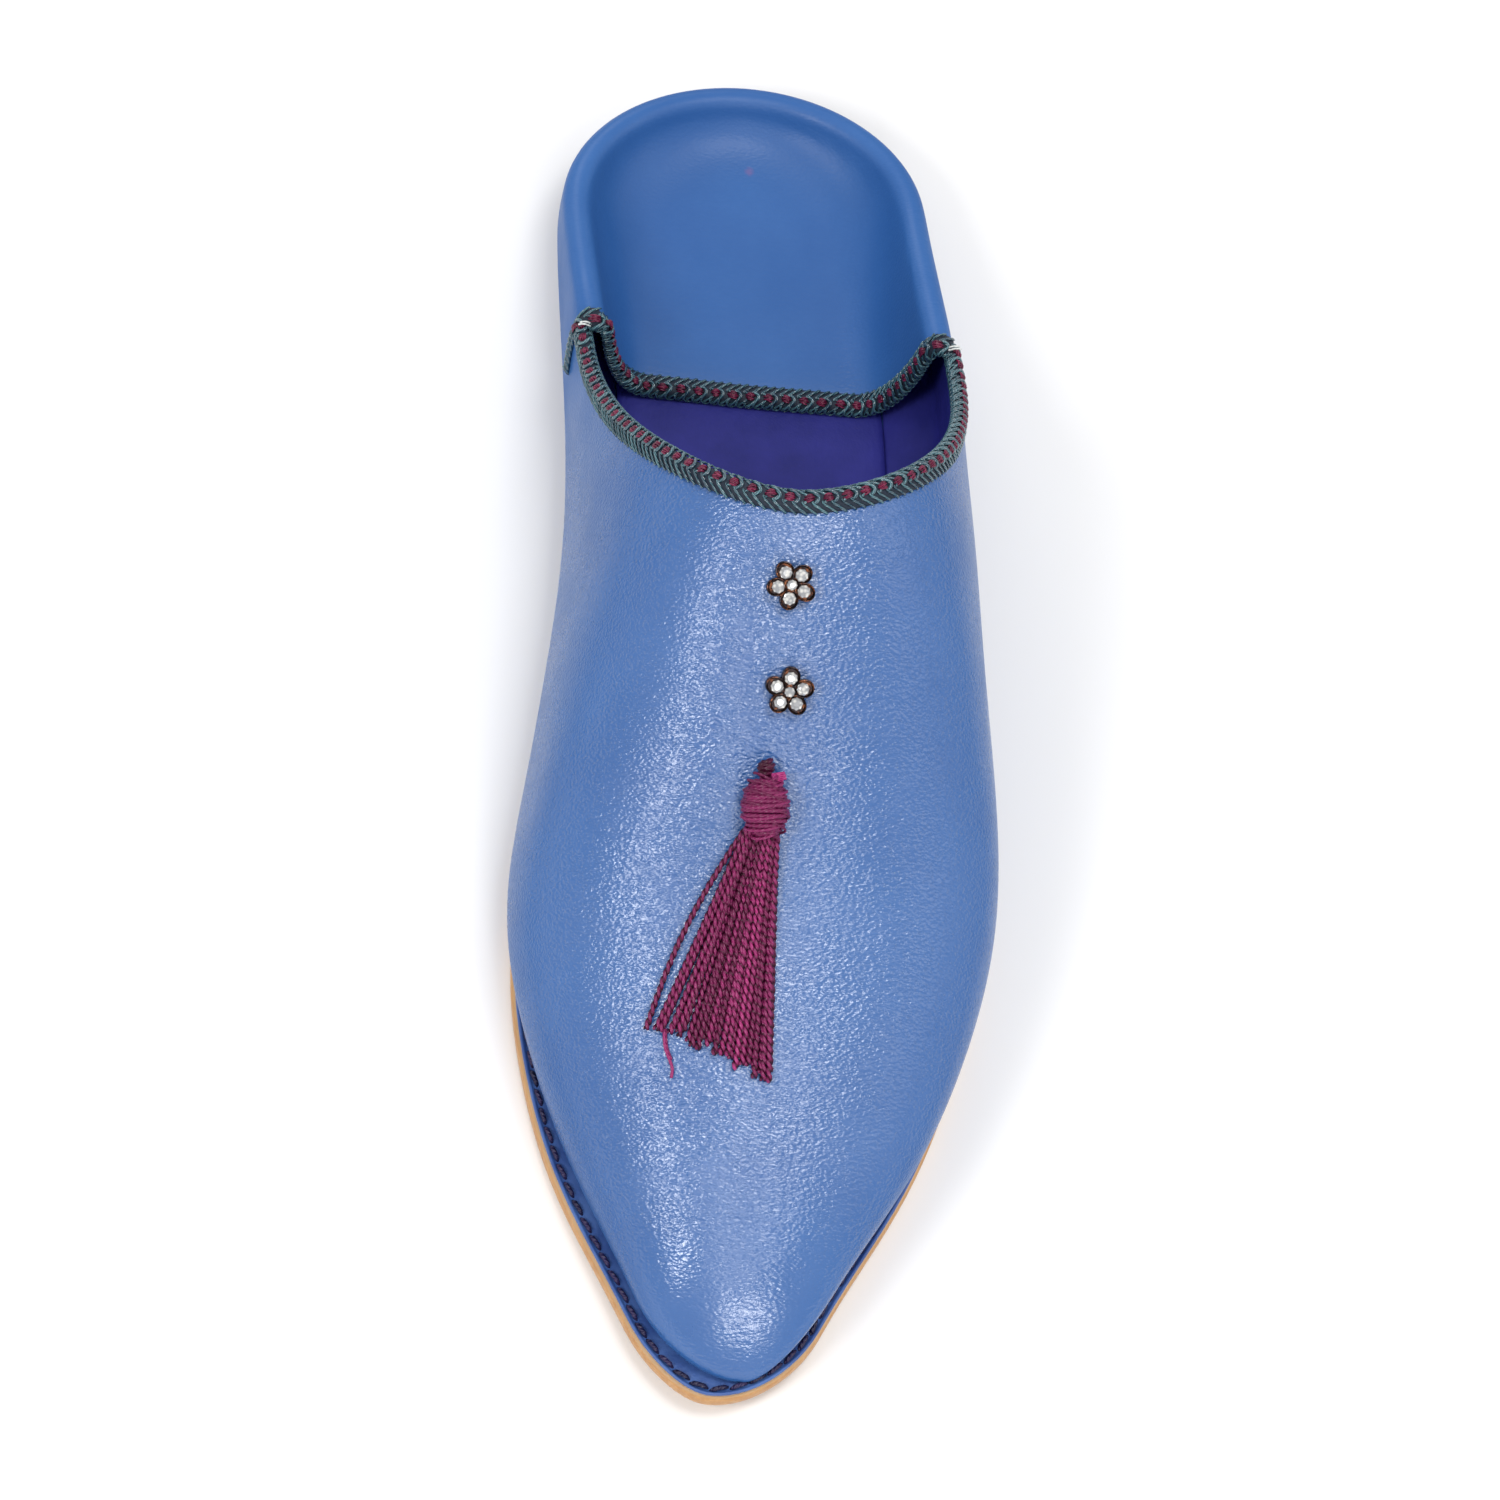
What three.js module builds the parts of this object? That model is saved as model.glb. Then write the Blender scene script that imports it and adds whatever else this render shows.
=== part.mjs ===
// Babouche, left slipper: a flat leather mule with a pointed toe and its quarter folded down over the heel.
// Millimetres, Z up. The toe points to -Y, the heel to +Y and the outer side of the foot to +X.
import * as THREE from "three";

// Driving sizes.
const SHOE_LENGTH = 268; // outsole, toe tip to heel end
const BALL_WIDTH = 88; // outsole at its widest
const INSTEP_HEIGHT = 80; // ridge of the vamp at the throat, above the floor
const HEEL_ROUND = 30; // heel centre to heel end
const TOE_ROUND = 14; // length of the rounding at the toe tip
const TOE_SPRING = 4; // lift of the toe tip above the floor
const SPRING_LENGTH = 60; // part of the sole that the toe spring takes up
const ARCH_RISE = 1.2; // lift of the waist between forefoot and heel
const WAIST_START = 125; // toe tip to the front end of the waist
const WAIST_LENGTH = 85;
const OUTSOLE_THICK = 4.5;
const OUTSOLE_ROUND = 0.8; // rounding of the outsole's edge
const RAND_THICK = 1.5;
const RAND_SETBACK = 0.5; // the strip's outer edge inside the outsole's
const RAND_COVER = 2.8; // how far the strip runs in under the upper's lower edge
const INSOLE_THICK = 3.6;
const INSOLE_SETBACK = 3.2; // the insole's edge inside the upper's lower edge
const INSOLE_ROUND = 0.4;
const FEATHER_SETBACK = 2; // the upper's lower edge inside the outsole's
const FEATHER_TUCK = 1; // the least that it lies inside the upper's widest level
const FOOT_WIDTH = 1.9; // the lower edge's own width, where it lies on the strip
const WALL = 1.7; // leather of the upper
const GAP = 0.3; // between pieces that are sewn or glued together
const THROAT = 148; // toe tip to the front of the collar
const PINCH = 205; // toe tip to where collar and folded quarter meet at the sides
const UPPER_TIP = 3.2; // toe tip of the sole to toe tip of the upper
const TIP_SHIFT = 5; // the upper's tip lies this far to the outer side
const BACK_OVERHANG = 1.5; // bulge of the heel wall past the end of the sole
const RIM_RADIUS = 2.9; // outside radius of the rolled heel rim
const FLAP_SKEW = 2.8; // the folded quarter reaches further forward at its outer corner
const BRAID_WIDTH = 3.4; // across the edge of the leather
const BRAID_THICK = 2.0; // how far it stands past the edge
const BRAID_GAP = 1.6 * GAP; // the edge curves under the braid

const HEEL_CENTRE = SHOE_LENGTH - HEEL_ROUND;
const RAND_BOTTOM = OUTSOLE_THICK + GAP;
const FEATHER = RAND_BOTTOM + RAND_THICK + GAP; // lower edge of the upper, above the sole's underside
const INSOLE_TOP = RAND_BOTTOM + INSOLE_THICK;
const SEAT_TOP = INSOLE_TOP + GAP + WALL; // top of the folded quarter where it lies on the insole

// Outsole: half widths on each side of the line from toe tip to heel centre, as shares of the ball width.
const SOLE_OUTLINE = [
  { at: 0.0, inner: 0.12, outer: 0.17 },
  { at: 0.05, inner: 0.18, outer: 0.225 },
  { at: 0.15, inner: 0.335, outer: 0.395 },
  { at: 0.24, inner: 0.42, outer: 0.503 },
  { at: 0.335, inner: 0.448, outer: 0.552 },
  { at: 0.43, inner: 0.395, outer: 0.512 },
  { at: 0.52, inner: 0.325, outer: 0.435 },
  { at: 0.615, inner: 0.278, outer: 0.39 },
  { at: 0.745, inner: 0.29, outer: 0.366 },
  { at: 0.888, inner: 0.338, outer: 0.346 },
  { at: 1.0, inner: 0.342, outer: 0.342 },
];

// Upper at its widest level: how far it stands out past the sole edge, and how high that level is, in mm.
const BULGE = [
  { at: 0.017, inner: -2.0, outer: -1.9, height: 15.0 },
  { at: 0.052, inner: -2.6, outer: -1.8, height: 15.0 },
  { at: 0.15, inner: -3.2, outer: -0.9, height: 15.5 },
  { at: 0.243, inner: -0.8, outer: -0.1, height: 16.0 },
  { at: 0.336, inner: 2.0, outer: 0.9, height: 16.5 },
  { at: 0.43, inner: 4.3, outer: 2.8, height: 17.0 },
  { at: 0.522, inner: 7.3, outer: 6.4, height: 17.5 },
  { at: 0.616, inner: 8.9, outer: 9.0, height: 17.0 },
  { at: 0.746, inner: 8.4, outer: 8.8, height: 15.0 },
  { at: 0.888, inner: 6.3, outer: 6.0, height: 11.5 },
  { at: 1.0, inner: 5.4, outer: 5.0, height: 10.5 },
];

// Ridge of the vamp: height as a share of the instep height, sideways shift from mid-section in mm, and
// how square the section below it is (2 is an ellipse). Behind the throat it is only the line that the
// side walls lean towards.
const RIDGE = [
  { at: 0.017, height: 0.235, shift: 0.0, squareness: 2.45 },
  { at: 0.052, height: 0.285, shift: 0.0, squareness: 2.45 },
  { at: 0.112, height: 0.37, shift: 0.0, squareness: 2.45 },
  { at: 0.205, height: 0.47, shift: 0.0, squareness: 2.45 },
  { at: 0.317, height: 0.6, shift: 0.3, squareness: 2.45 },
  { at: 0.43, height: 0.805, shift: 0.7, squareness: 2.45 },
  { at: 0.552, height: 1.0, shift: 0.6, squareness: 2.35 },
  { at: 0.65, height: 1.07, shift: -1.2, squareness: 2.05 },
  { at: 0.765, height: 1.08, shift: -1.0, squareness: 2.15 },
];

// Rolled rim and folded quarter: rim height, how far inside the rim the slope would reach the seat,
// and the length over which it rounds into the seat, all in mm. The last row is the back of the heel.
const HEEL_FOLD = [
  { at: 0.765, rim: 33.0, corner: 9.0, rounding: 7.0 },
  { at: 0.84, rim: 26.0, corner: 9.3, rounding: 9.0 },
  { at: 0.888, rim: 20.5, corner: 9.5, rounding: 10.0 },
];
const BACK_FOLD = { rim: 14.0, corner: 8.0, rounding: 12.0 };
const BACK_BULGE_HEIGHT = 10.0;

// Mesh density.
const TOE_ROWS = 20;
const COLLAR_ROWS = 9;
const ROW_LAG = 24; // mm, how far the foot of the throat's row lies ahead of its top
const ROW_BEND = 3; // power by which a row swings back on its way up
const QUARTER_ROWS = 4;
const HEEL_RIBS = 7; // on each side
const SOLE_ROWS = 30;
const SOLE_RIBS = 9; // round the heel on each side
const TUCK_STEPS = 4;
const WALL_STEPS = 10;
const RIM_STEPS = 6;
const SLOPE_STEPS = 8;
const SEAT_STEPS = 3;
const BRAID_SIDES = 8;
const COLLAR_BRAID_STEPS = 36;
const HEEL_BRAID_STEPS = 26;
const SKIRT_ROWS = 10;
const SKIRT_COLUMNS = 8;
const OVAL_STEPS = 8;
const OVAL_SIDES = 12;
const STUD_SIDES = 30;
const STONE_SIDES = 8;

const INNER = -1;
const OUTER = 1;

// A smooth curve through one column of a table: a natural cubic spline over the column `at`.
function curveThrough(rows, column) {
  const x = rows.map((row) => row.at);
  const y = rows.map((row) => row[column]);
  const last = rows.length - 1;
  const bend = new Array(rows.length).fill(0);
  const carry = new Array(rows.length).fill(0);
  for (let i = 1; i < last; i++) {
    const share = (x[i] - x[i - 1]) / (x[i + 1] - x[i - 1]);
    const pivot = share * bend[i - 1] + 2;
    const change = (y[i + 1] - y[i]) / (x[i + 1] - x[i]) - (y[i] - y[i - 1]) / (x[i] - x[i - 1]);
    bend[i] = (share - 1) / pivot;
    carry[i] = ((6 * change) / (x[i + 1] - x[i - 1]) - share * carry[i - 1]) / pivot;
  }
  bend[last] = 0;
  for (let i = last - 1; i >= 0; i--) bend[i] = bend[i] * bend[i + 1] + carry[i];
  return (at) => {
    const t = Math.min(Math.max(at, x[0]), x[last]);
    let i = 0;
    while (i < last - 1 && t > x[i + 1]) i++;
    const step = x[i + 1] - x[i];
    const a = (x[i + 1] - t) / step;
    const b = (t - x[i]) / step;
    const curve = ((a ** 3 - a) * bend[i] + (b ** 3 - b) * bend[i + 1]) * (step ** 2 / 6);
    return a * y[i] + b * y[i + 1] + curve;
  };
}

const soleHalfShare = {
  [INNER]: curveThrough(SOLE_OUTLINE, "inner"),
  [OUTER]: curveThrough(SOLE_OUTLINE, "outer"),
};
const overhang = { [INNER]: curveThrough(BULGE, "inner"), [OUTER]: curveThrough(BULGE, "outer") };
const bulgeLevel = curveThrough(BULGE, "height");
const ridgeShare = curveThrough(RIDGE, "height");
const ridgeShift = curveThrough(RIDGE, "shift");
const squareness = curveThrough(RIDGE, "squareness");
const foldCurves = {
  rim: curveThrough(HEEL_FOLD, "rim"),
  corner: curveThrough(HEEL_FOLD, "corner"),
  rounding: curveThrough(HEEL_FOLD, "rounding"),
};

const lerp = (a, b, share) => a + (b - a) * share;
const yOf = (along) => along - SHOE_LENGTH / 2;

// Rises from 0 to 1 like a quarter circle, for a rounded end.
function roundedEnd(share) {
  const rest = 1 - Math.min(Math.max(share, 0), 1);
  return Math.sqrt(1 - rest * rest);
}

// The smaller of two lengths, rounded off where they cross.
function softMin(a, b, blend) {
  return (a + b - Math.hypot(a - b, blend)) / 2;
}

// Height of the sole's underside: toe spring in front, a slight arch at the waist, flat between.
function floorLift(along) {
  const toe = Math.max(0, 1 - along / SPRING_LENGTH);
  const waist = Math.min(Math.max((along - WAIST_START) / WAIST_LENGTH, 0), 1);
  return TOE_SPRING * toe * toe + ARCH_RISE * Math.sin(Math.PI * waist) ** 2;
}

// Half widths without the rounded ends.
const soleHalf = (side, along) => BALL_WIDTH * soleHalfShare[side](along / SHOE_LENGTH);
const bulgeHalf = (side, along) => soleHalf(side, along) + overhang[side](along / SHOE_LENGTH);
const featherHalf = (side, along) =>
  softMin(soleHalf(side, along) - FEATHER_SETBACK, bulgeHalf(side, along) - FEATHER_TUCK, FEATHER_TUCK);

// The upper's rounded tip is off centre.
const tipShift = (along) => TIP_SHIFT * (1 - roundedEnd((along - UPPER_TIP) / TOE_ROUND));

// An outline is where it starts behind the toe tip, its half widths, its reach behind the heel centre
// and its sideways shift.
const SOLE_EDGE = { front: 0, half: soleHalf, back: HEEL_ROUND, shift: () => 0 };
const BULGE_EDGE = { front: UPPER_TIP, half: bulgeHalf, back: HEEL_ROUND + BACK_OVERHANG, shift: tipShift };
const FEATHER_BACK = HEEL_ROUND - FEATHER_SETBACK;
const FEATHER_EDGE = { front: UPPER_TIP, half: featherHalf, back: FEATHER_BACK, shift: tipShift };

function insetOutline(outline, inset) {
  return {
    front: outline.front + inset,
    half: (side, along) => outline.half(side, along) - inset,
    back: outline.back - inset,
    shift: outline.shift,
  };
}

// Stations run from the toe (0) to the heel centre (1) and on round the heel (1 to 2).
function outlinePoint(outline, side, station) {
  if (station <= 1) {
    const along = lerp(outline.front, HEEL_CENTRE, station);
    const half = outline.half(side, along) * roundedEnd((along - outline.front) / TOE_ROUND);
    return { x: side * half + outline.shift(along), along };
  }
  const angle = ((station - 1) * Math.PI) / 2;
  return {
    x: side * outline.half(side, HEEL_CENTRE) * Math.cos(angle),
    along: HEEL_CENTRE + outline.back * Math.sin(angle),
  };
}

// Stations of a flat piece, closer together at the toe tip.
function flatStations(rows, ribs) {
  const stations = [];
  for (let i = 0; i <= rows; i++) stations.push(1 - Math.cos((i / rows) * (Math.PI / 2)));
  for (let i = 1; i <= ribs; i++) stations.push(1 + i / ribs);
  return stations;
}

// A closed loop round an outline: toe tip, outer side, heel end, inner side.
function loopRound(outline, stations, height) {
  const at = (side, station) => {
    const point = outlinePoint(outline, side, station);
    return new THREE.Vector3(point.x, yOf(point.along), floorLift(point.along) + height);
  };
  const outer = stations.map((station) => at(OUTER, station));
  const inner = stations.slice(1, -1).map((station) => at(INNER, station));
  return [...outer, ...inner.reverse()];
}

// Collects points and triangles, then makes the closed geometry.
class Skin {
  constructor() {
    this.points = [];
    this.faces = [];
  }
  add(point) {
    this.points.push(point.x, point.y, point.z);
    return this.points.length / 3 - 1;
  }
  triangle(a, b, c) {
    if (a !== b && b !== c && c !== a) this.faces.push(a, b, c);
  }
  quad(a, b, c, d) {
    this.triangle(a, b, c);
    this.triangle(a, c, d);
  }
  strip(rowA, rowB) {
    for (let i = 0; i + 1 < rowA.length; i++) this.quad(rowA[i], rowA[i + 1], rowB[i + 1], rowB[i]);
  }
  ring(rowA, rowB) {
    this.strip([...rowA, rowA[0]], [...rowB, rowB[0]]);
  }
  geometry() {
    const geometry = new THREE.BufferGeometry();
    geometry.setAttribute("position", new THREE.Float32BufferAttribute(this.points, 3));
    geometry.setIndex(this.faces);
    geometry.computeVertexNormals();
    return geometry;
  }
}

// A solid between loops that all run anticlockwise from above: either a plate with two flat faces,
// or, when closed, a ring.
function loopSolid(loops, closed) {
  const skin = new Skin();
  const rows = loops.map((loop) => loop.map((point) => skin.add(point)));
  for (let i = 0; i + 1 < rows.length; i++) skin.ring(rows[i], rows[i + 1]);
  if (closed) {
    skin.ring(rows[rows.length - 1], rows[0]);
    return skin.geometry();
  }
  const count = rows[0].length;
  const top = rows[rows.length - 1];
  for (let i = 0; i < count / 2; i++) {
    const [a, b, c, d] = [i, i + 1, (count - i - 1) % count, (count - i) % count];
    skin.quad(rows[0][a], rows[0][d], rows[0][c], rows[0][b]);
    skin.quad(top[a], top[b], top[c], top[d]);
  }
  return skin.geometry();
}

// Flat leather sole with a slightly rounded edge.
function outsoleGeometry() {
  const stations = flatStations(SOLE_ROWS, SOLE_RIBS);
  const levels = [
    { inset: OUTSOLE_ROUND, height: 0 },
    { inset: OUTSOLE_ROUND / 4, height: OUTSOLE_ROUND },
    { inset: 0, height: OUTSOLE_THICK / 2 },
    { inset: OUTSOLE_ROUND / 4, height: OUTSOLE_THICK - OUTSOLE_ROUND },
    { inset: OUTSOLE_ROUND, height: OUTSOLE_THICK },
  ];
  const loops = levels.map((level) =>
    loopRound(insetOutline(SOLE_EDGE, level.inset), stations, level.height),
  );
  return loopSolid(loops, false);
}

// Thin strip round the edge that the upper is sewn down to.
function randGeometry() {
  const stations = flatStations(SOLE_ROWS, SOLE_RIBS);
  const outer = insetOutline(SOLE_EDGE, RAND_SETBACK);
  const inner = insetOutline(FEATHER_EDGE, RAND_COVER);
  const loops = [
    loopRound(inner, stations, RAND_BOTTOM),
    loopRound(outer, stations, RAND_BOTTOM),
    loopRound(outer, stations, RAND_BOTTOM + RAND_THICK),
    loopRound(inner, stations, RAND_BOTTOM + RAND_THICK),
  ];
  return loopSolid(loops, true);
}

// Lining sock on its board, inside the strip and the lower edge of the upper.
function insoleGeometry() {
  const stations = flatStations(SOLE_ROWS, SOLE_RIBS);
  const outline = insetOutline(FEATHER_EDGE, INSOLE_SETBACK);
  const loops = [
    loopRound(outline, stations, RAND_BOTTOM),
    loopRound(outline, stations, INSOLE_TOP - INSOLE_ROUND),
    loopRound(insetOutline(outline, INSOLE_ROUND), stations, INSOLE_TOP),
  ];
  return loopSolid(loops, false);
}

// The vamp section above its widest level is a superellipse, the tuck below it part of an ellipse.
const TUCK_ANGLE = (50 * Math.PI) / 180;

// Sizes of the section at a distance from the toe, for one side.
function sectionSizes(side, along) {
  const end = roundedEnd((along - UPPER_TIP) / TOE_ROUND);
  const low = floorLift(along) + FEATHER;
  const ridge = INSTEP_HEIGHT * ridgeShare(along / SHOE_LENGTH);
  const middle = (bulgeHalf(OUTER, along) - bulgeHalf(INNER, along)) / 2;
  return {
    low,
    level: lerp(low, bulgeLevel(along / SHOE_LENGTH), end),
    ridge: lerp(low, ridge, roundedEnd((along - UPPER_TIP) / (1.2 * TOE_ROUND))),
    ridgeX: (middle + ridgeShift(along / SHOE_LENGTH)) * end,
    bulge: bulgeHalf(side, along) * end,
    feather: featherHalf(side, along) * end,
    power: squareness(along / SHOE_LENGTH),
  };
}

// A point of the tuck: share 0 at the lower edge, 1 at the widest level.
function tuckPoint(sizes, share) {
  const angle = TUCK_ANGLE * (1 - share);
  const inward = (1 - Math.cos(angle)) / (1 - Math.cos(TUCK_ANGLE));
  const down = Math.sin(angle) / Math.sin(TUCK_ANGLE);
  return { out: lerp(sizes.bulge, sizes.feather, inward), z: lerp(sizes.level, sizes.low, down) };
}

// A point of the wall: angle 0 at the widest level, a quarter turn at the ridge.
function wallPoint(sizes, side, angle) {
  const across = Math.max(Math.cos(angle), 0) ** (2 / sizes.power);
  const up = Math.sin(angle) ** (2 / sizes.power);
  return {
    out: side * sizes.ridgeX * up + sizes.bulge * across,
    z: sizes.level + (sizes.ridge - sizes.level) * up,
  };
}

// The wall angle at which a section reaches a height.
function angleAtHeight(sizes, z) {
  const up = Math.min(Math.max((z - sizes.level) / (sizes.ridge - sizes.level), 0), 1);
  return Math.asin(up ** (sizes.power / 2));
}

// The collar's fullness from throat to pinch on each side: 1 is a straight notch, 2 a quarter ellipse.
const COLLAR_FULLNESS = { [INNER]: 1.62, [OUTER]: 1.5 };

// The collar leaves the ridge at the throat and comes down the side walls to the height of the heel rim.
function collarAngle(sizes, side, along) {
  const back = Math.min(Math.max((along - THROAT) / (PINCH - THROAT), 0), 1);
  const fullness = COLLAR_FULLNESS[side];
  const drop = (1 - (1 - back) ** fullness) ** (1 / fullness);
  const pinch = angleAtHeight(sizes, foldCurves.rim(PINCH / SHOE_LENGTH));
  return lerp(Math.PI / 2, pinch, drop);
}

// Lower edge to the top of the wall, as distances out from the centre line and heights.
function wallProfile(sizes, side, topAngle) {
  const profile = [];
  for (let i = 0; i < TUCK_STEPS; i++) profile.push(tuckPoint(sizes, i / TUCK_STEPS));
  for (let i = 0; i <= WALL_STEPS; i++) profile.push(wallPoint(sizes, side, (topAngle * i) / WALL_STEPS));
  return profile;
}

// From the top of the wall over the rolled rim, down the slope and along the seat to the centre.
function foldProfile(top, fold, centre) {
  const axis = { out: top.out - RIM_RADIUS, z: top.z };
  const corner = { out: top.out - fold.corner, z: SEAT_TOP };
  const away = Math.hypot(corner.out - axis.out, corner.z - axis.z);
  const bearing = Math.atan2(corner.z - axis.z, corner.out - axis.out) + 2 * Math.PI;
  const leave = bearing - Math.acos(RIM_RADIUS / away);
  const profile = [];
  for (let i = 1; i <= RIM_STEPS; i++) {
    const angle = (leave * i) / RIM_STEPS;
    profile.push({ out: axis.out + RIM_RADIUS * Math.cos(angle), z: axis.z + RIM_RADIUS * Math.sin(angle) });
  }
  const start = profile[profile.length - 1];
  const end = { out: corner.out - fold.rounding, z: SEAT_TOP };
  for (let i = 1; i <= SLOPE_STEPS; i++) {
    const t = i / SLOPE_STEPS;
    const blend = (key) => (1 - t) ** 2 * start[key] + 2 * t * (1 - t) * corner[key] + t * t * end[key];
    profile.push({ out: blend("out"), z: blend("z") });
  }
  for (let i = 1; i <= SEAT_STEPS; i++) {
    profile.push({ out: lerp(end.out, centre, i / SEAT_STEPS), z: SEAT_TOP });
  }
  return profile;
}

const foldAt = (along) => ({
  rim: foldCurves.rim(along / SHOE_LENGTH),
  corner: foldCurves.corner(along / SHOE_LENGTH),
  rounding: foldCurves.rounding(along / SHOE_LENGTH),
});

// A row of points ahead of the pinch: lower edge up to the ridge or the collar. Its foot lies ahead of its
// top, and it swings back on its way up, so that it meets the edge of the throat at a wide angle.
function frontRib(side, { foot, top }) {
  const topAngle = top > THROAT ? collarAngle(sectionSizes(side, top), side, top) : Math.PI / 2;
  const inPlace = (point, along) =>
    new THREE.Vector3(side * point.out + tipShift(along), yOf(along), point.z);
  const rib = [];
  for (let i = 0; i < TUCK_STEPS; i++) {
    rib.push(inPlace(tuckPoint(sectionSizes(side, foot), i / TUCK_STEPS), foot));
  }
  for (let i = 0; i <= WALL_STEPS; i++) {
    const share = i / WALL_STEPS;
    const along = lerp(foot, top, share ** ROW_BEND);
    rib.push(inPlace(wallPoint(sectionSizes(side, along), side, topAngle * share), along));
  }
  return rib;
}

// Profile of half a section behind the pinch, folded quarter included.
function quarterProfile(side, along) {
  const sizes = sectionSizes(side, along);
  const fold = foldAt(along);
  const wall = wallProfile(sizes, side, angleAtHeight(sizes, fold.rim));
  return [...wall, ...foldProfile(wall[wall.length - 1], fold, 0)];
}

// The same half section in place, its folded part drawn forward towards the outer corner of the flap.
function quarterRib(side, along) {
  const wallTop = TUCK_STEPS + WALL_STEPS;
  const skew = (FLAP_SKEW * (HEEL_CENTRE - along)) / (HEEL_CENTRE - PINCH);
  return quarterProfile(side, along).map((point, i, profile) => {
    const folded = Math.max(0, (i - wallTop) / (profile.length - 1 - wallTop));
    const outerShare = 0.5 + (0.5 * side * point.out) / profile[wallTop].out;
    return new THREE.Vector3(side * point.out, yOf(along) - skew * folded * outerShare, point.z);
  });
}

// Profile at the very back of the heel, as distances behind the heel centre.
function backProfile() {
  const sizes = {
    low: FEATHER,
    level: BACK_BULGE_HEIGHT,
    ridge: INSTEP_HEIGHT,
    ridgeX: 0,
    bulge: BULGE_EDGE.back,
    feather: FEATHER_EDGE.back,
    power: squareness(1),
  };
  const wall = wallProfile(sizes, OUTER, angleAtHeight(sizes, BACK_FOLD.rim));
  return [...wall, ...foldProfile(wall[wall.length - 1], BACK_FOLD, 0)];
}

// A rib of the heel fan, turned from the side (0) to the back (a quarter turn).
function heelRib(side, angle) {
  const beside = quarterProfile(side, HEEL_CENTRE);
  const behind = backProfile();
  return beside.map((point, i) => {
    const out = point.out * Math.cos(angle);
    const back = behind[i].out * Math.sin(angle);
    const height = lerp(point.z, behind[i].z, Math.sin(angle));
    return new THREE.Vector3(side * out, yOf(HEEL_CENTRE + back), height);
  });
}

// Rows of the vamp as distances from the toe, closer at the tip and round the throat.
function frontRows() {
  const rows = [];
  for (let i = 1; i <= TOE_ROWS; i++) {
    const share = i / TOE_ROWS;
    const top = lerp(UPPER_TIP, THROAT, 1 - Math.cos(share * (Math.PI / 2)));
    rows.push({ foot: top - ROW_LAG * share ** 2, top });
  }
  for (let i = 1; i <= COLLAR_ROWS; i++) {
    const share = i / COLLAR_ROWS;
    const top = lerp(THROAT, PINCH, 1 - Math.cos(share * (Math.PI / 2)));
    rows.push({ foot: lerp(THROAT - ROW_LAG, PINCH, share), top });
  }
  return rows;
}

// The upper's outer surface: named rows of point numbers in one skin.
function upperGrid() {
  const skin = new Skin();
  const tip = skin.add(new THREE.Vector3(TIP_SHIFT, yOf(UPPER_TIP), floorLift(UPPER_TIP) + FEATHER));
  const front = { [INNER]: [], [OUTER]: [] };
  for (const row of frontRows()) {
    for (const side of [OUTER, INNER]) {
      const rib = frontRib(side, row);
      const joined = side === INNER && row.top <= THROAT;
      const numbers = rib.slice(0, joined ? -1 : undefined).map((point) => skin.add(point));
      if (joined) numbers.push(front[OUTER].at(-1).at(-1));
      front[side].push(numbers);
    }
  }
  const rear = { [INNER]: [], [OUTER]: [] };
  const addRear = (side, rib, shared) => {
    const row = rib.map((point, i) => shared[i] ?? skin.add(point));
    rear[side].push(row);
  };
  for (let i = 0; i <= QUARTER_ROWS; i++) {
    const along = lerp(PINCH, HEEL_CENTRE, i / QUARTER_ROWS);
    for (const side of [OUTER, INNER]) {
      const rib = quarterRib(side, along);
      const shared = i === 0 ? [...front[side].at(-1)] : [];
      if (side === INNER) shared[rib.length - 1] = rear[OUTER].at(-1).at(-1);
      addRear(side, rib, shared);
    }
  }
  for (let i = 1; i <= HEEL_RIBS; i++) {
    for (const side of [OUTER, INNER]) {
      const rib = heelRib(side, ((i / HEEL_RIBS) * Math.PI) / 2);
      const shared = side === INNER && i === HEEL_RIBS ? [...rear[OUTER].at(-1)] : [];
      shared[rib.length - 1] = rear[OUTER][QUARTER_ROWS].at(-1);
      addRear(side, rib, shared);
    }
  }
  return { skin, tip, front, rear };
}

// Faces of one surface of the upper; the grid's numbers are turned by `flip` for the lining side.
function skinUpper(skin, grid, number, flip) {
  for (const side of [OUTER, INNER]) {
    const turn = (side === OUTER) !== flip;
    const join = (rowA, rowB) => {
      const [a, b] = [rowA.map(number), rowB.map(number)];
      if (turn) skin.strip(b, a);
      else skin.strip(a, b);
    };
    const tipRow = grid.front[side][0].map(() => grid.tip);
    const rows = [tipRow, ...grid.front[side]];
    for (let i = 0; i + 1 < rows.length; i++) join(rows[i], rows[i + 1]);
    const back = grid.rear[side];
    for (let i = 0; i + 1 < back.length; i++) join(back[i], back[i + 1]);
  }
}

// The two edges of the upper, as closed loops of point numbers seen from above: the lower edge,
// and the collar with the front edge of the folded quarter.
function upperEdges(grid) {
  const lower = (side) => [...grid.front[side], ...grid.rear[side].slice(1)].map((row) => row[0]);
  const lowerLoop = [grid.tip, ...lower(OUTER), ...lower(INNER).reverse().slice(1)];
  const throatRow = TOE_ROWS - 1;
  const collar = (side) => grid.front[side].slice(throatRow).map((row) => row.at(-1));
  const wallTop = TUCK_STEPS + WALL_STEPS;
  const flap = (side) => grid.rear[side][0].slice(wallTop + 1);
  const openLoop = [
    ...collar(OUTER),
    ...flap(OUTER),
    ...flap(INNER).reverse().slice(1),
    ...collar(INNER).reverse().slice(0, -1),
  ];
  return { lowerLoop, openLoop };
}

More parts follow.
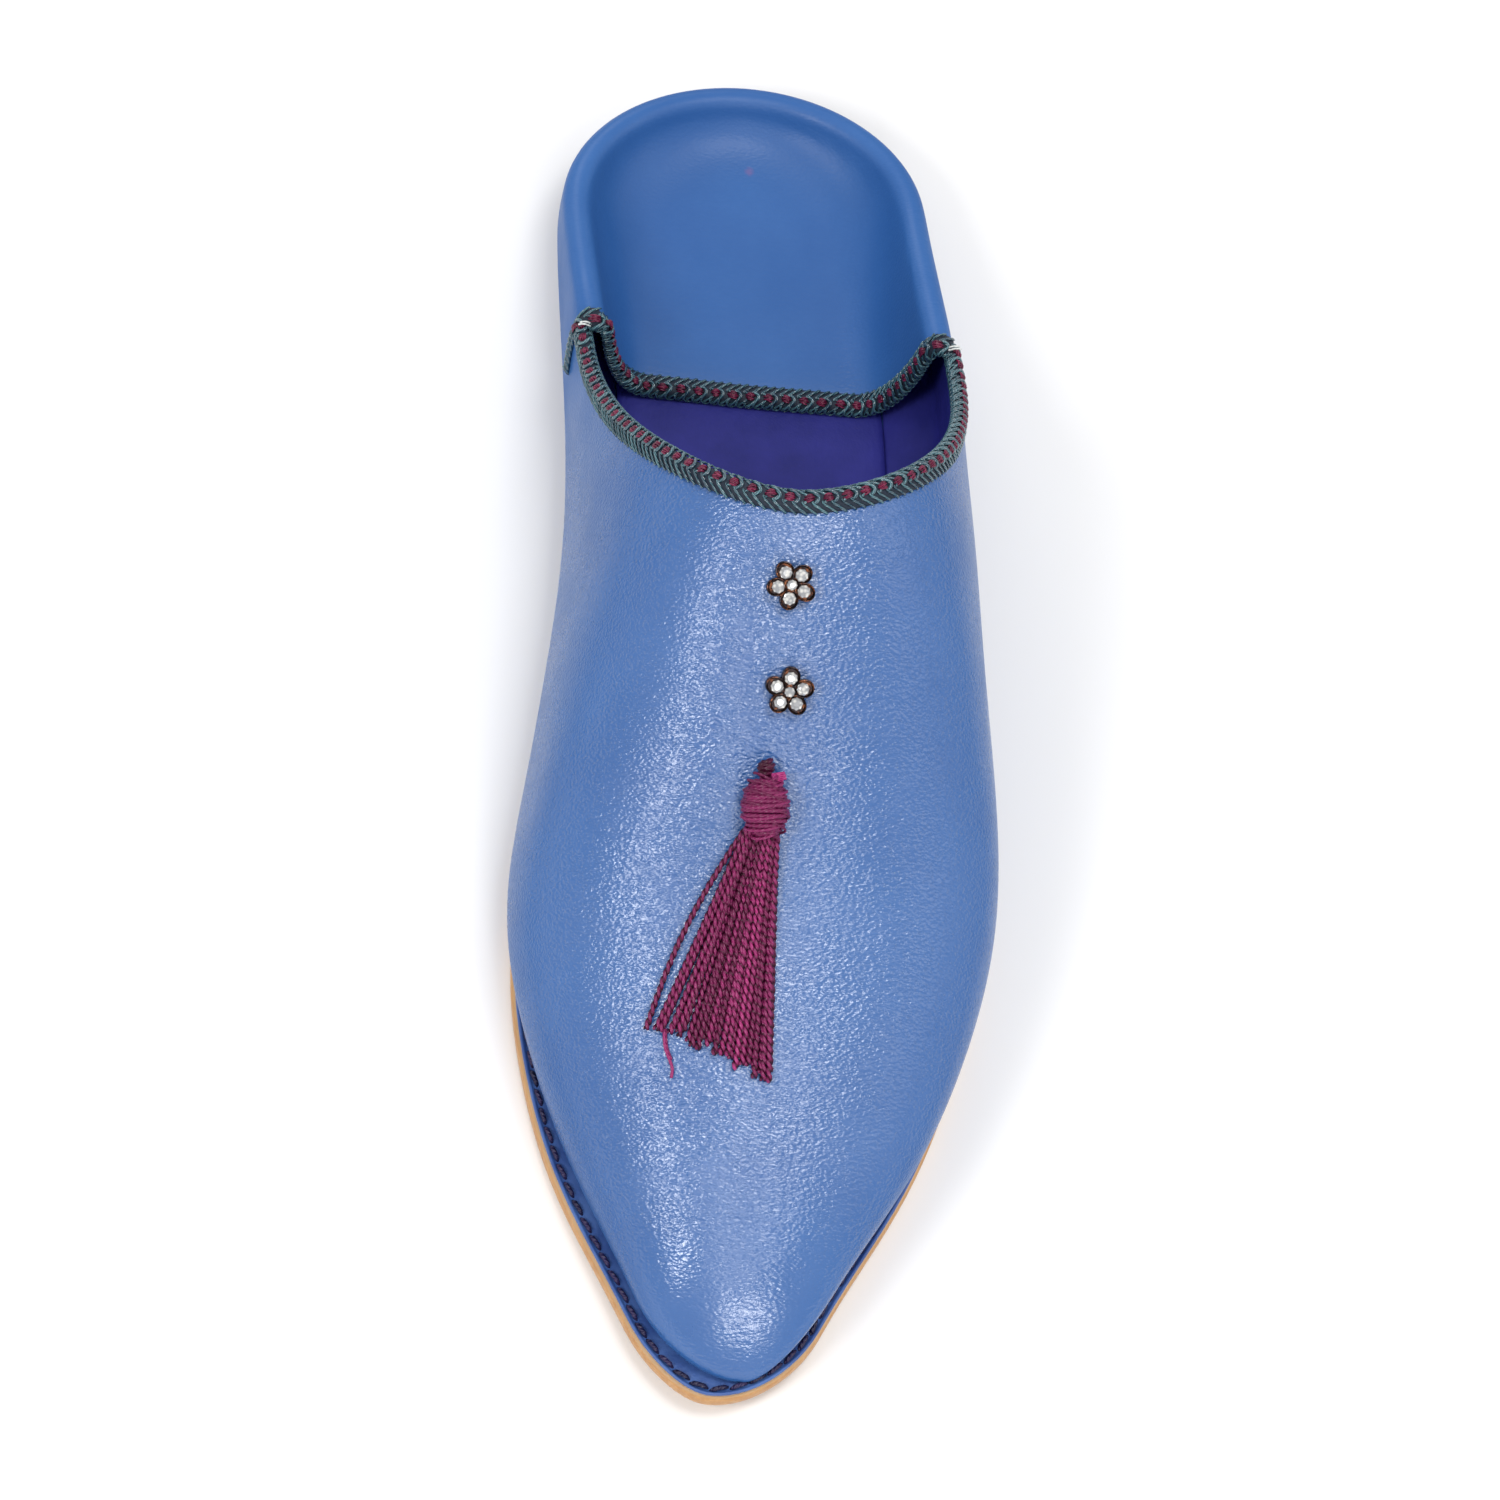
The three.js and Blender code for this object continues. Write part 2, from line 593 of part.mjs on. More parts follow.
// The upper as one sheet of leather: outer surface, lining side a wall's thickness in, and its edges.
function buildUpper() {
  const grid = upperGrid();
  const surface = new Skin();
  surface.points = [...grid.skin.points];
  skinUpper(surface, grid, (i) => i, false);
  const normals = surface.geometry().getAttribute("normal");
  const { lowerLoop, openLoop } = upperEdges(grid);
  const skin = new Skin();
  skin.points = [...grid.skin.points];
  const count = grid.skin.points.length / 3;
  const at = (i) => new THREE.Vector3().fromArray(grid.skin.points, 3 * i);
  const lined = [];
  for (let i = 0; i < count; i++) {
    const normal = new THREE.Vector3().fromBufferAttribute(normals, i);
    lined.push(at(i).addScaledVector(normal, -WALL));
  }
  lowerLoop.forEach((i, k) => {
    const before = at(lowerLoop.at(k - 1));
    const after = at(lowerLoop[(k + 1) % lowerLoop.length]);
    const inward = new THREE.Vector3(before.y - after.y, after.x - before.x, 0).normalize();
    lined[i] = at(i).addScaledVector(inward, FOOT_WIDTH);
  });
  lined.forEach((point) => skin.add(point));
  const within = (i) => i + count;
  skinUpper(skin, grid, (i) => i, false);
  skinUpper(skin, grid, within, true);
  skin.ring(lowerLoop.map(within), lowerLoop);
  skin.ring(openLoop, openLoop.map(within));
  return { geometry: skin.geometry(), at, lined, normals, openLoop };
}

const upper = buildUpper();

// A solid between loops threaded along a path, closed by a flat face at each end.
function threadedSolid(loops) {
  const skin = new Skin();
  const rows = loops.map((loop) => loop.map((point) => skin.add(point)));
  for (let i = 0; i + 1 < rows.length; i++) skin.ring(rows[i], rows[i + 1]);
  const [first, last] = [rows[0], rows[rows.length - 1]];
  for (let i = 1; i + 1 < first.length; i++) {
    skin.triangle(first[0], first[i + 1], first[i]);
    skin.triangle(last[0], last[i], last[i + 1]);
  }
  return skin.geometry();
}

// Frames along an edge of the upper: its middle, the way out of the leather, and the way past the edge.
function edgeCurves(numbers) {
  const middles = [];
  const normals = [];
  const beyonds = [];
  numbers.forEach((number, k) => {
    const before = upper.at(numbers[Math.max(k - 1, 0)]);
    const after = upper.at(numbers[Math.min(k + 1, numbers.length - 1)]);
    const normal = new THREE.Vector3().fromBufferAttribute(upper.normals, number);
    const along = after.sub(before).normalize();
    middles.push(upper.at(number).lerp(upper.lined[number], 0.5));
    beyonds.push(new THREE.Vector3().crossVectors(normal, along).normalize());
    normals.push(normal);
  });
  const curve = (points) => new THREE.CatmullRomCurve3(points, false, "centripetal");
  return { middle: curve(middles), normal: curve(normals), beyond: curve(beyonds) };
}

// Braid sewn over an edge of the upper, between two shares of the edge's points. It is raised out of
// the leather where something lies close under the edge.
function braidGeometry(numbers, { from, to, steps, raise }) {
  const edge = edgeCurves(numbers);
  const loops = [];
  for (let i = 0; i <= steps; i++) {
    const t = lerp(from, to, i / steps);
    const out = edge.normal.getPoint(t).normalize();
    const beyond = edge.beyond.getPoint(t).normalize();
    const centre = edge.middle.getPoint(t).addScaledVector(beyond, BRAID_GAP + BRAID_THICK / 2);
    centre.addScaledVector(out, raise);
    const loop = [];
    for (let k = 0; k < BRAID_SIDES; k++) {
      const angle = ((k + 0.5) / BRAID_SIDES) * 2 * Math.PI;
      loop.push(
        centre
          .clone()
          .addScaledVector(out, (BRAID_WIDTH / 2) * Math.cos(angle))
          .addScaledVector(beyond, (-BRAID_THICK / 2) * Math.sin(angle)),
      );
    }
    loops.push(loop);
  }
  return threadedSolid(loops);
}

const HALVINGS = 40; // enough for any point to settle

// A point of the vamp's surface, found by halving the wall angle until it lies over x.
function vampPoint(x, along) {
  const ridgeX = sectionSizes(OUTER, along).ridgeX;
  const side = x > ridgeX ? OUTER : INNER;
  const sizes = sectionSizes(side, along);
  let low = 0;
  let high = Math.PI / 2;
  for (let i = 0; i < HALVINGS; i++) {
    const angle = (low + high) / 2;
    if (wallPoint(sizes, side, angle).out > Math.abs(x - ridgeX) + side * ridgeX) low = angle;
    else high = angle;
  }
  return new THREE.Vector3(x, yOf(along), wallPoint(sizes, side, low).z);
}

// Place on the vamp as a frame: Z out of the leather, Y down the vamp towards the toe, turned by a lean.
function vampFrame(x, along, lean, lift) {
  const step = 2; // mm to each side, for the slope
  const point = vampPoint(x, along);
  const down = vampPoint(x, along - step).sub(vampPoint(x, along + step)).normalize();
  const sideways = vampPoint(x + step, along).sub(vampPoint(x - step, along)).normalize();
  const out = new THREE.Vector3().crossVectors(sideways, down).negate().normalize();
  const right = new THREE.Vector3().crossVectors(down, out).normalize();
  const frame = new THREE.Matrix4().makeBasis(right, down, out);
  frame.multiply(new THREE.Matrix4().makeRotationZ(lean));
  return frame.setPosition(point.addScaledVector(out, lift));
}

// Flower studs: a five-petalled metal plate and six clear stones.
const STUDS = [
  { name: "flower_stud_1", x: 4.5, along: 134, turn: 0.2 },
  { name: "flower_stud_2", x: 5.4, along: 117, turn: 0.9 },
];
const STUD_RADIUS = 4.3;
const PETAL_DEPTH = 0.9;
const STUD_THICK = 1.0;
const STUD_LIFT = 0.6; // the plate is flat and the vamp is not
const STONE_RADIUS = 0.95;
const STONE_EDGE = 0.3; // height of a stone's straight edge
const STONE_HEIGHT = 0.75;
const STONE_REACH = 2.6; // stud middle to the middle of a petal's stone
const PETALS = 5;

function studGeometry() {
  const outline = [];
  for (let i = 0; i < STUD_SIDES; i++) {
    const angle = (i / STUD_SIDES) * 2 * Math.PI;
    const radius = STUD_RADIUS - PETAL_DEPTH * Math.abs(Math.sin((PETALS * angle) / 2)) ** 2;
    outline.push(new THREE.Vector2(radius * Math.cos(angle), radius * Math.sin(angle)));
  }
  return new THREE.ExtrudeGeometry(new THREE.Shape(outline), { depth: STUD_THICK, bevelEnabled: false });
}

function stoneGeometry() {
  const profile = [
    [0, 0],
    [STONE_RADIUS, 0],
    [STONE_RADIUS, STONE_EDGE],
    [STONE_RADIUS / 2, STONE_HEIGHT],
    [0, STONE_HEIGHT],
  ].map(([radius, height]) => new THREE.Vector2(radius, height));
  return new THREE.LatheGeometry(profile, STONE_SIDES).rotateX(Math.PI / 2);
}

// Tassel: a small knot, a bound oval head and a flat skirt of threads spread towards the inner side.
const KNOT = { x: 2.2, along: 104.8, length: 3.0, width: 3.4, depth: 2.8 };
const HEAD = { x: 2.4, along: 98.7, length: 11.0, width: 8.6, depth: 6.4 };
const SKIRT_TOP = { left: { x: -1.7, along: 91.4 }, right: { x: 5.6, along: 91.4 }, thick: 4.0 };
const SKIRT_LIFT = 4 * GAP;
const SKIRT_END = { left: { x: -16.6, along: 60.5 }, right: { x: 6.6, along: 52.5 }, thick: 2.4 };
const SKIRT_EDGE = 0.35; // thickness at the skirt's two side edges, as a share of its middle
const TASSEL_LEAN = 0.08; // radians
const OVAL_FULLNESS = 0.7;

// An egg shape, a little fuller than an ellipse.
function ovalGeometry(size) {
  const profile = [];
  for (let i = 0; i <= OVAL_STEPS; i++) {
    const angle = (i / OVAL_STEPS) * Math.PI - Math.PI / 2;
    const radius = i === 0 || i === OVAL_STEPS ? 0 : (size.width / 2) * Math.cos(angle) ** OVAL_FULLNESS;
    profile.push(new THREE.Vector2(radius, (size.length / 2) * Math.sin(angle)));
  }
  return new THREE.LatheGeometry(profile, OVAL_SIDES).scale(1, 1, size.depth / size.width);
}

// The skirt lies along the vamp: rows from the head down, each with a flat underside and a crowned top.
function skirtGeometry() {
  const loops = [];
  for (let i = 0; i <= SKIRT_ROWS; i++) {
    const t = i / SKIRT_ROWS;
    const thick = lerp(SKIRT_TOP.thick, SKIRT_END.thick, t);
    const under = [];
    const over = [];
    for (let k = 0; k <= SKIRT_COLUMNS; k++) {
      const u = k / SKIRT_COLUMNS;
      const edge = (side, key) => lerp(SKIRT_TOP[side][key], SKIRT_END[side][key], t);
      const pick = (key) => lerp(edge("left", key), edge("right", key), u);
      const base = vampPoint(pick("x"), pick("along"));
      const crown = lerp(SKIRT_EDGE, 1, Math.sqrt(1 - (2 * u - 1) ** 2));
      under.push(base.clone().add(new THREE.Vector3(0, 0, SKIRT_LIFT)));
      over.push(base.clone().add(new THREE.Vector3(0, 0, SKIRT_LIFT + thick * crown)));
    }
    loops.push([...under, ...over.reverse()]);
  }
  return threadedSolid(loops);
}

// Colours and finishes.
const finish = (color, roughness, metalness = 0) =>
  new THREE.MeshStandardMaterial({ color, roughness, metalness });
const soleLeather = finish(0xd9a55c, 0.5);
const blueLeather = finish(0x3f6fc0, 0.4);
const randLeather = finish(0x2c5aa8, 0.45);
const liningLeather = finish(0x3a2c9a, 0.6);
const braidCord = finish(0x1d5560, 0.75);
const darkMetal = finish(0x3b2f2c, 0.35, 0.9);
const clearStone = finish(0xe8eef2, 0.1);
const silkThread = finish(0x8a1a60, 0.6);

const slipper = new THREE.Group();

function place(name, geometry, material, parent = slipper) {
  const mesh = new THREE.Mesh(geometry, material);
  mesh.name = name;
  parent.add(mesh);
  return mesh;
}

place("outsole", outsoleGeometry(), soleLeather);
place("rand", randGeometry(), randLeather);
place("insole", insoleGeometry(), liningLeather);
place("upper", upper.geometry, blueLeather);

// The collar's edge points run from the inner pinch round the throat to the outer pinch.
const collarEdge = [...upper.openLoop.slice(-COLLAR_ROWS), ...upper.openLoop.slice(0, COLLAR_ROWS + 1)];
const flapEdge = upper.openLoop.slice(COLLAR_ROWS + 1, -COLLAR_ROWS);
const collarBraid = { from: 0.02, to: 0.98, steps: COLLAR_BRAID_STEPS, raise: 0 };
const heelBraid = { from: 0.1, to: 0.9, steps: HEEL_BRAID_STEPS, raise: (BRAID_WIDTH - WALL) / 2 };
place("collar_braid", braidGeometry(collarEdge, collarBraid), braidCord);
place("heel_braid", braidGeometry(flapEdge, heelBraid), braidCord);

for (const stud of STUDS) {
  const seat = new THREE.Group();
  seat.applyMatrix4(vampFrame(stud.x, stud.along, stud.turn, STUD_LIFT));
  slipper.add(seat);
  place(stud.name, studGeometry(), darkMetal, seat);
  for (let i = 0; i <= PETALS; i++) {
    const reach = i === 0 ? 0 : STONE_REACH;
    const angle = (i / PETALS) * 2 * Math.PI;
    const stone = place(`${stud.name}_stone_${i + 1}`, stoneGeometry(), clearStone, seat);
    stone.position.set(reach * Math.cos(angle), reach * Math.sin(angle), STUD_THICK + GAP);
  }
}

for (const [name, size] of [["tassel_knot", KNOT], ["tassel_head", HEAD]]) {
  const seat = new THREE.Group();
  seat.applyMatrix4(vampFrame(size.x, size.along, TASSEL_LEAN, size.depth / 2 + 2 * GAP));
  slipper.add(seat);
  place(name, ovalGeometry(size), silkThread, seat);
}
place("tassel_skirt", skirtGeometry(), silkThread);

// The frame's origin: middle of the box, on the floor.
const box = new THREE.Box3().setFromObject(slipper);
const middle = box.getCenter(new THREE.Vector3());
slipper.position.set(-middle.x, -middle.y, -box.min.z);

export default slipper;
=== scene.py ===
import math
import random

import bmesh
import bpy
from mathutils import Matrix, Vector, noise
from mathutils.bvhtree import BVHTree


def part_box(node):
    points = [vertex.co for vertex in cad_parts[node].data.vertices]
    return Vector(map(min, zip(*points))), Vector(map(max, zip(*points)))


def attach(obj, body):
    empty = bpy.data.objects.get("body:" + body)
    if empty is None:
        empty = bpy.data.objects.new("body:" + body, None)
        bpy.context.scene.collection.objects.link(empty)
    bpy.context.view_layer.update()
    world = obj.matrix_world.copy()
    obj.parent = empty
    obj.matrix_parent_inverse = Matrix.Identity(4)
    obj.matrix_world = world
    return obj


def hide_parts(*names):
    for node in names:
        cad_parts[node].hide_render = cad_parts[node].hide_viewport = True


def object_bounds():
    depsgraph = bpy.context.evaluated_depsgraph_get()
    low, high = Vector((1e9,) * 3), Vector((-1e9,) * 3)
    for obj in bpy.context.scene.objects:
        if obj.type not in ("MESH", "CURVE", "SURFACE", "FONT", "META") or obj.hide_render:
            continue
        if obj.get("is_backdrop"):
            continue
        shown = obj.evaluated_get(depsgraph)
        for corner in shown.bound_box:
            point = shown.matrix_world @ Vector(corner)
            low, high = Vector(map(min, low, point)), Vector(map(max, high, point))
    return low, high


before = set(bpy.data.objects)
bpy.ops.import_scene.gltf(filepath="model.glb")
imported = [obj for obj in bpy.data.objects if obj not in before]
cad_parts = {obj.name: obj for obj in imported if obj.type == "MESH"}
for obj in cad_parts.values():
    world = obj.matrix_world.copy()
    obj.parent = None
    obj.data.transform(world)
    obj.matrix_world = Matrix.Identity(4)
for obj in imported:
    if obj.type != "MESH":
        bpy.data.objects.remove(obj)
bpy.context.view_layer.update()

# Studio: a pale matt floor that the slipper stands on, six soft panels of light above and around it, and
# a camera looking down on the vamp from in front of the toe, turned a little to the inner side.
CAMERA_AZIMUTH = math.radians(-13.66)
CAMERA_ELEVATION = math.radians(66.22)
CAMERA_ROLL = math.radians(16.04)
CAMERA_DISTANCE = 1.136
CAMERA_LENS = 144.8
AIM = Vector((-0.0044, -0.0008, 0.025))
AIM_RIGHT = 0.0026
AIM_DOWN = 0.0110
FLOOR_SIZE = 8.0


def add_object(name, data):
    made = bpy.data.objects.new(name, data)
    bpy.context.collection.objects.link(made)
    return made


camera_data = bpy.data.cameras.new("camera")
camera = add_object("camera", camera_data)
back = Vector((
    math.sin(CAMERA_AZIMUTH) * math.cos(CAMERA_ELEVATION),
    -math.cos(CAMERA_AZIMUTH) * math.cos(CAMERA_ELEVATION),
    math.sin(CAMERA_ELEVATION),
))
level_right = Vector((math.cos(CAMERA_AZIMUTH), math.sin(CAMERA_AZIMUTH), 0))
level_up = back.cross(level_right)
camera_right = level_right * math.cos(CAMERA_ROLL) + level_up * math.sin(CAMERA_ROLL)
camera_up = level_up * math.cos(CAMERA_ROLL) - level_right * math.sin(CAMERA_ROLL)
target = AIM + camera_right * AIM_RIGHT - camera_up * AIM_DOWN
turn = Matrix((camera_right, camera_up, back)).transposed().to_4x4()
camera.matrix_world = Matrix.Translation(target + back * CAMERA_DISTANCE) @ turn
camera_data.lens = CAMERA_LENS
camera_data.clip_start = 0.05
camera_data.clip_end = 20
bpy.context.scene.camera = camera

world = bpy.data.worlds.new("studio")
world.use_nodes = True
world.node_tree.nodes["Background"].inputs["Color"].default_value = (1.0, 0.99, 0.98, 1)
world.node_tree.nodes["Background"].inputs["Strength"].default_value = 0.58
bpy.context.scene.world = world
bpy.context.scene.view_settings.view_transform = "Standard"


def light_panel(name, place, aim, size, power):
    data = bpy.data.lights.new(name, "AREA")
    data.shape = "RECTANGLE"
    data.size, data.size_y = size
    data.energy = power
    panel = add_object(name, data)
    panel.location = place
    panel.rotation_mode = "QUATERNION"
    panel.rotation_quaternion = (Vector(aim) - Vector(place)).to_track_quat("-Z", "Y")
    panel.visible_camera = False


light_panel("panel_left", (-0.84, -0.58, 1.24), (0, 0, 0.04), (0.42, 0.50), 8)
light_panel("panel_top", (0.28, 0.0, 1.75), (0, 0, 0.04), (0.5, 0.5), 9)
light_panel("panel_front_high", (0.10, -0.85, 1.35), (0, -0.1, 0.02), (0.34, 0.34), 1.7)
light_panel("panel_front", (0.20, -1.30, 0.84), (0, -0.1, 0.02), (0.26, 0.20), 2.6)
light_panel("panel_back", (-0.30, 1.40, 0.60), (0, 0.1, 0.02), (0.7, 0.35), 4)
light_panel("panel_outer_side", (1.2, 0.1, 0.9), (0, 0, 0.04), (0.8, 0.8), 2.5)

bpy.ops.mesh.primitive_plane_add(size=FLOOR_SIZE, location=(0, 0, 0))
floor = bpy.context.object
floor.name = "floor"
floor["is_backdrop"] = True


class Finish:
    """A material with its shader, and short calls that add nodes in front of it."""

    def __init__(self, name):
        self.material = bpy.data.materials.new(name)
        self.material.use_nodes = True
        self.nodes = self.material.node_tree.nodes
        self.links = self.material.node_tree.links
        self.shader = self.nodes["Principled BSDF"]

    def set(self, **values):
        for key, value in values.items():
            self.shader.inputs[key.replace("_", " ")].default_value = value

    def node(self, kind, inputs=None, **settings):
        made = self.nodes.new(kind)
        for key, value in settings.items():
            setattr(made, key, value)
        for key, value in (inputs or {}).items():
            if isinstance(value, bpy.types.NodeSocket):
                self.links.new(value, made.inputs[key])
            else:
                made.inputs[key].default_value = value
        return made

    def place(self, scale=(1, 1, 1), turn=(0, 0, 0)):
        """Object coordinates, stretched and turned."""
        spot = self.node("ShaderNodeTexCoord")
        inputs = {"Vector": spot.outputs["Object"], "Scale": scale, "Rotation": turn}
        return self.node("ShaderNodeMapping", inputs).outputs["Vector"]

    def noise(self, where, scale, detail=2.0, roughness=0.5):
        inputs = {"Vector": where, "Scale": scale, "Detail": detail, "Roughness": roughness}
        return self.node("ShaderNodeTexNoise", inputs).outputs["Fac"]

    def shade(self):
        """The tone that each thread was laid with; on the tassel's cords it also holds painted light and
        shade.
        """
        return self.node("ShaderNodeAttribute", attribute_name="shade").outputs["Fac"]

    def cells(self, where, scale, feature="F1"):
        inputs = {"Vector": where, "Scale": scale}
        return self.node("ShaderNodeTexVoronoi", inputs, feature=feature).outputs["Distance"]

    def fit(self, value, low, high, to_low=0.0, to_high=1.0):
        inputs = {"Value": value, "From Min": low, "From Max": high, "To Min": to_low, "To Max": to_high}
        return self.node("ShaderNodeMapRange", inputs).outputs["Result"]

    def sum(self, kind, a, b):
        return self.node("ShaderNodeMath", {0: a, 1: b}, operation=kind).outputs[0]

    def blend(self, share, a, b):
        made = self.node("ShaderNodeMix", data_type="RGBA")
        for socket, value in ((0, share), (6, a), (7, b)):
            if isinstance(value, bpy.types.NodeSocket):
                self.links.new(value, made.inputs[socket])
            else:
                made.inputs[socket].default_value = value
        return made.outputs[2]

    def bump(self, height, depth, under=None, strength=1.0):
        inputs = {"Height": height, "Distance": depth, "Strength": strength}
        if under is not None:
            inputs["Normal"] = under
        return self.node("ShaderNodeBump", inputs).outputs["Normal"]

    def wire(self, socket, value):
        self.links.new(value, self.shader.inputs[socket])


paper = Finish("pale_floor")
paper.set(Roughness=0.9)
paper_tone = paper.fit(paper.noise(paper.place(), 3.0), 0.3, 0.7)
paper.wire("Base Color", paper.blend(paper_tone, (0.90, 0.90, 0.90, 1), (0.93, 0.93, 0.93, 1)))
floor.data.materials.append(paper.material)

# Outsole: one flat piece of thick tanned leather, pointed at the toe, with its edge pared round and
# burnished. A channel is cut in from the edge underneath and the sole is sewn along it.
CHANNEL_INSET = 0.0048
CHANNEL_WIDTH = 0.0011
CHANNEL_DEPTH = 0.0006
MERGE_DISTANCE = 0.00001
FLAT = 0.97


def merged_copy(node, name):
    """A copy of a CAD piece with its triangles joined into quads, selected alone."""
    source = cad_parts[node]
    piece = add_object(name, source.data.copy())
    bpy.ops.object.select_all(action="DESELECT")
    piece.select_set(True)
    bpy.context.view_layer.objects.active = piece
    if piece.data.has_custom_normals:
        bpy.ops.mesh.customdata_custom_splitnormals_clear()
    bpy.ops.object.mode_set(mode="EDIT")
    bpy.ops.mesh.select_all(action="SELECT")
    bpy.ops.mesh.remove_doubles(threshold=MERGE_DISTANCE)
    bpy.ops.mesh.tris_convert_to_quads(face_threshold=math.radians(50), shape_threshold=math.radians(60))
    bpy.ops.object.mode_set(mode="OBJECT")
    piece.data.materials.clear()
    return piece


def select_faces(piece, wanted):
    """Edit mode with only the faces selected for which wanted(face) holds."""
    bpy.ops.object.mode_set(mode="EDIT")
    bpy.ops.mesh.select_mode(type="FACE")
    bpy.ops.mesh.select_all(action="DESELECT")
    shape = bmesh.from_edit_mesh(piece.data)
    for face in shape.faces:
        if wanted(face):
            face.select_set(True)
    bmesh.update_edit_mesh(piece.data)


def smooth(piece, levels):
    """Rounds a piece with a subdivision surface, applied."""
    bpy.ops.object.mode_set(mode="OBJECT")
    if levels:
        rounding = piece.modifiers.new("rounding", "SUBSURF")
        rounding.levels = rounding.render_levels = levels
        bpy.ops.object.modifier_apply(modifier=rounding.name)
    bpy.ops.object.shade_smooth()


def settle(piece, finish, slot, *nodes):
    """Gives a finished piece its material and its place in the frame."""
    if finish is not None:
        piece.data.materials.append(finish.material)
    if nodes:
        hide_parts(*nodes)
    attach(piece, "root")


outsole = merged_copy("outsole", "outsole_leather")
select_faces(outsole, lambda face: face.normal.z < -FLAT)
slope = CHANNEL_WIDTH * 0.25
for width, rise in ((CHANNEL_INSET, 0), (slope, -CHANNEL_DEPTH), (slope * 2, 0), (slope, CHANNEL_DEPTH)):
    bpy.ops.mesh.inset(thickness=width, depth=rise, use_even_offset=True)
smooth(outsole, 2)

tan = Finish("sole_leather")
where = tan.place()
mottle = tan.fit(tan.noise(where, 34, 5, 0.62), 0.34, 0.68)
fibre = tan.fit(tan.noise(tan.place((1, 0.16, 1)), 700, 4, 0.6), 0.3, 0.7)
honey = tan.blend(mottle, (0.50, 0.245, 0.072, 1), (0.64, 0.37, 0.13, 1))
honey = tan.blend(tan.fit(fibre, 0, 1, 0.0, 0.35), honey, (0.40, 0.18, 0.05, 1))
facing = tan.node("ShaderNodeSeparateXYZ", {0: tan.node("ShaderNodeNewGeometry").outputs["Normal"]})
edge_share = tan.fit(facing.outputs["Z"], -0.9, -0.5)
top_share = tan.fit(facing.outputs["Z"], 0.55, 0.95)
burnish = tan.blend(fibre, (0.47, 0.22, 0.075, 1), (0.60, 0.33, 0.13, 1))
ledge = tan.blend(mottle, (0.60, 0.36, 0.17, 1), (0.70, 0.46, 0.25, 1))
tone = tan.blend(edge_share, honey, burnish)
tone = tan.blend(top_share, tone, ledge)
tan.wire("Base Color", tone)
tan.wire("Roughness", tan.fit(mottle, 0, 1, 0.34, 0.52))
grain = tan.bump(tan.noise(where, 900, 3, 0.6), 0.00012)
tan.wire("Normal", tan.bump(fibre, 0.00010, grain))
tan.set(Specular_IOR_Level=0.45)
settle(outsole, tan, "sole_leather", "outsole")

# Sole seam: waxed linen thread in the channel underneath, a running stitch whose ends are sunk into
# the leather, so that only the middle of each stitch shows.
SOLE_STITCH = 0.0031
SOLE_PITCH = 0.0040
SOLE_THREAD = 0.00085
STITCH_SHARES = (-0.5, -0.3, 0, 0.3, 0.5)
SOLE_STITCH_HEIGHTS = (0.0010, 0.00058, 0.00045, 0.00058, 0.0010)


class Threads:
    """Tubes of thread collected into one mesh. Its UV map holds the share of the way round, and the
    length in millimetres, so that a twist can follow the thread."""

    def __init__(self):
        self.points = []
        self.faces = []
        self.wraps = []
        self.shades = []

    def lay(self, path, thickness, sides=6, shade=0.5, ends=0.55):
        """One thread along a path. Thickness is a number or one for each point."""
        count = len(path)
        radii = [t / 2 for t in thickness] if isinstance(thickness, list) else [thickness / 2] * count
        radii[0] *= ends
        radii[-1] *= ends
        start = len(self.points)
        ahead = [(path[min(k + 1, count - 1)] - path[max(k - 1, 0)]).normalized() for k in range(count)]
        across = ahead[0].orthogonal().normalized()
        length = 0.0
        marks = []
        for k, centre in enumerate(path):
            if k:
                length += (centre - path[k - 1]).length * 1000
            marks.append(length)
            across = (across - ahead[k] * across.dot(ahead[k])).normalized()
            third = ahead[k].cross(across)
            for j in range(sides):
                angle = 2 * math.pi * j / sides
                self.points.append(centre + (across * math.cos(angle) + third * math.sin(angle)) * radii[k])
        shades = shade if isinstance(shade, list) else [shade] * count
        self.shades += [value for value in shades for _ in range(sides)]
        for k in range(count - 1):
            for j in range(sides):
                low, high = start + k * sides, start + (k + 1) * sides
                after = (j + 1) % sides
                self.faces.append((low + j, low + after, high + after, high + j))
                u, v = (j / sides, (j + 1) / sides), (marks[k], marks[k + 1])
                self.wraps.append(((u[0], v[0]), (u[1], v[0]), (u[1], v[1]), (u[0], v[1])))
        for ring, order in ((start, -1), (start + (count - 1) * sides, 1)):
            self.faces.append(tuple(range(ring, ring + sides))[::order])
            self.wraps.append(((0.0, 0.0),) * sides)

    def make(self, name):
        """The mesh object of all the threads laid so far."""
        mesh = bpy.data.meshes.new(name)
        mesh.from_pydata([tuple(point) for point in self.points], [], self.faces)
        wrap = mesh.uv_layers.new(name="wrap")
        flat = [value for face in self.wraps for corner in face for value in corner]
        wrap.data.foreach_set("uv", flat)
        shade = mesh.attributes.new("shade", "FLOAT", "POINT")
        shade.data.foreach_set("value", self.shades)
        mesh.polygons.foreach_set("use_smooth", [True] * len(mesh.polygons))
        return add_object(name, mesh)


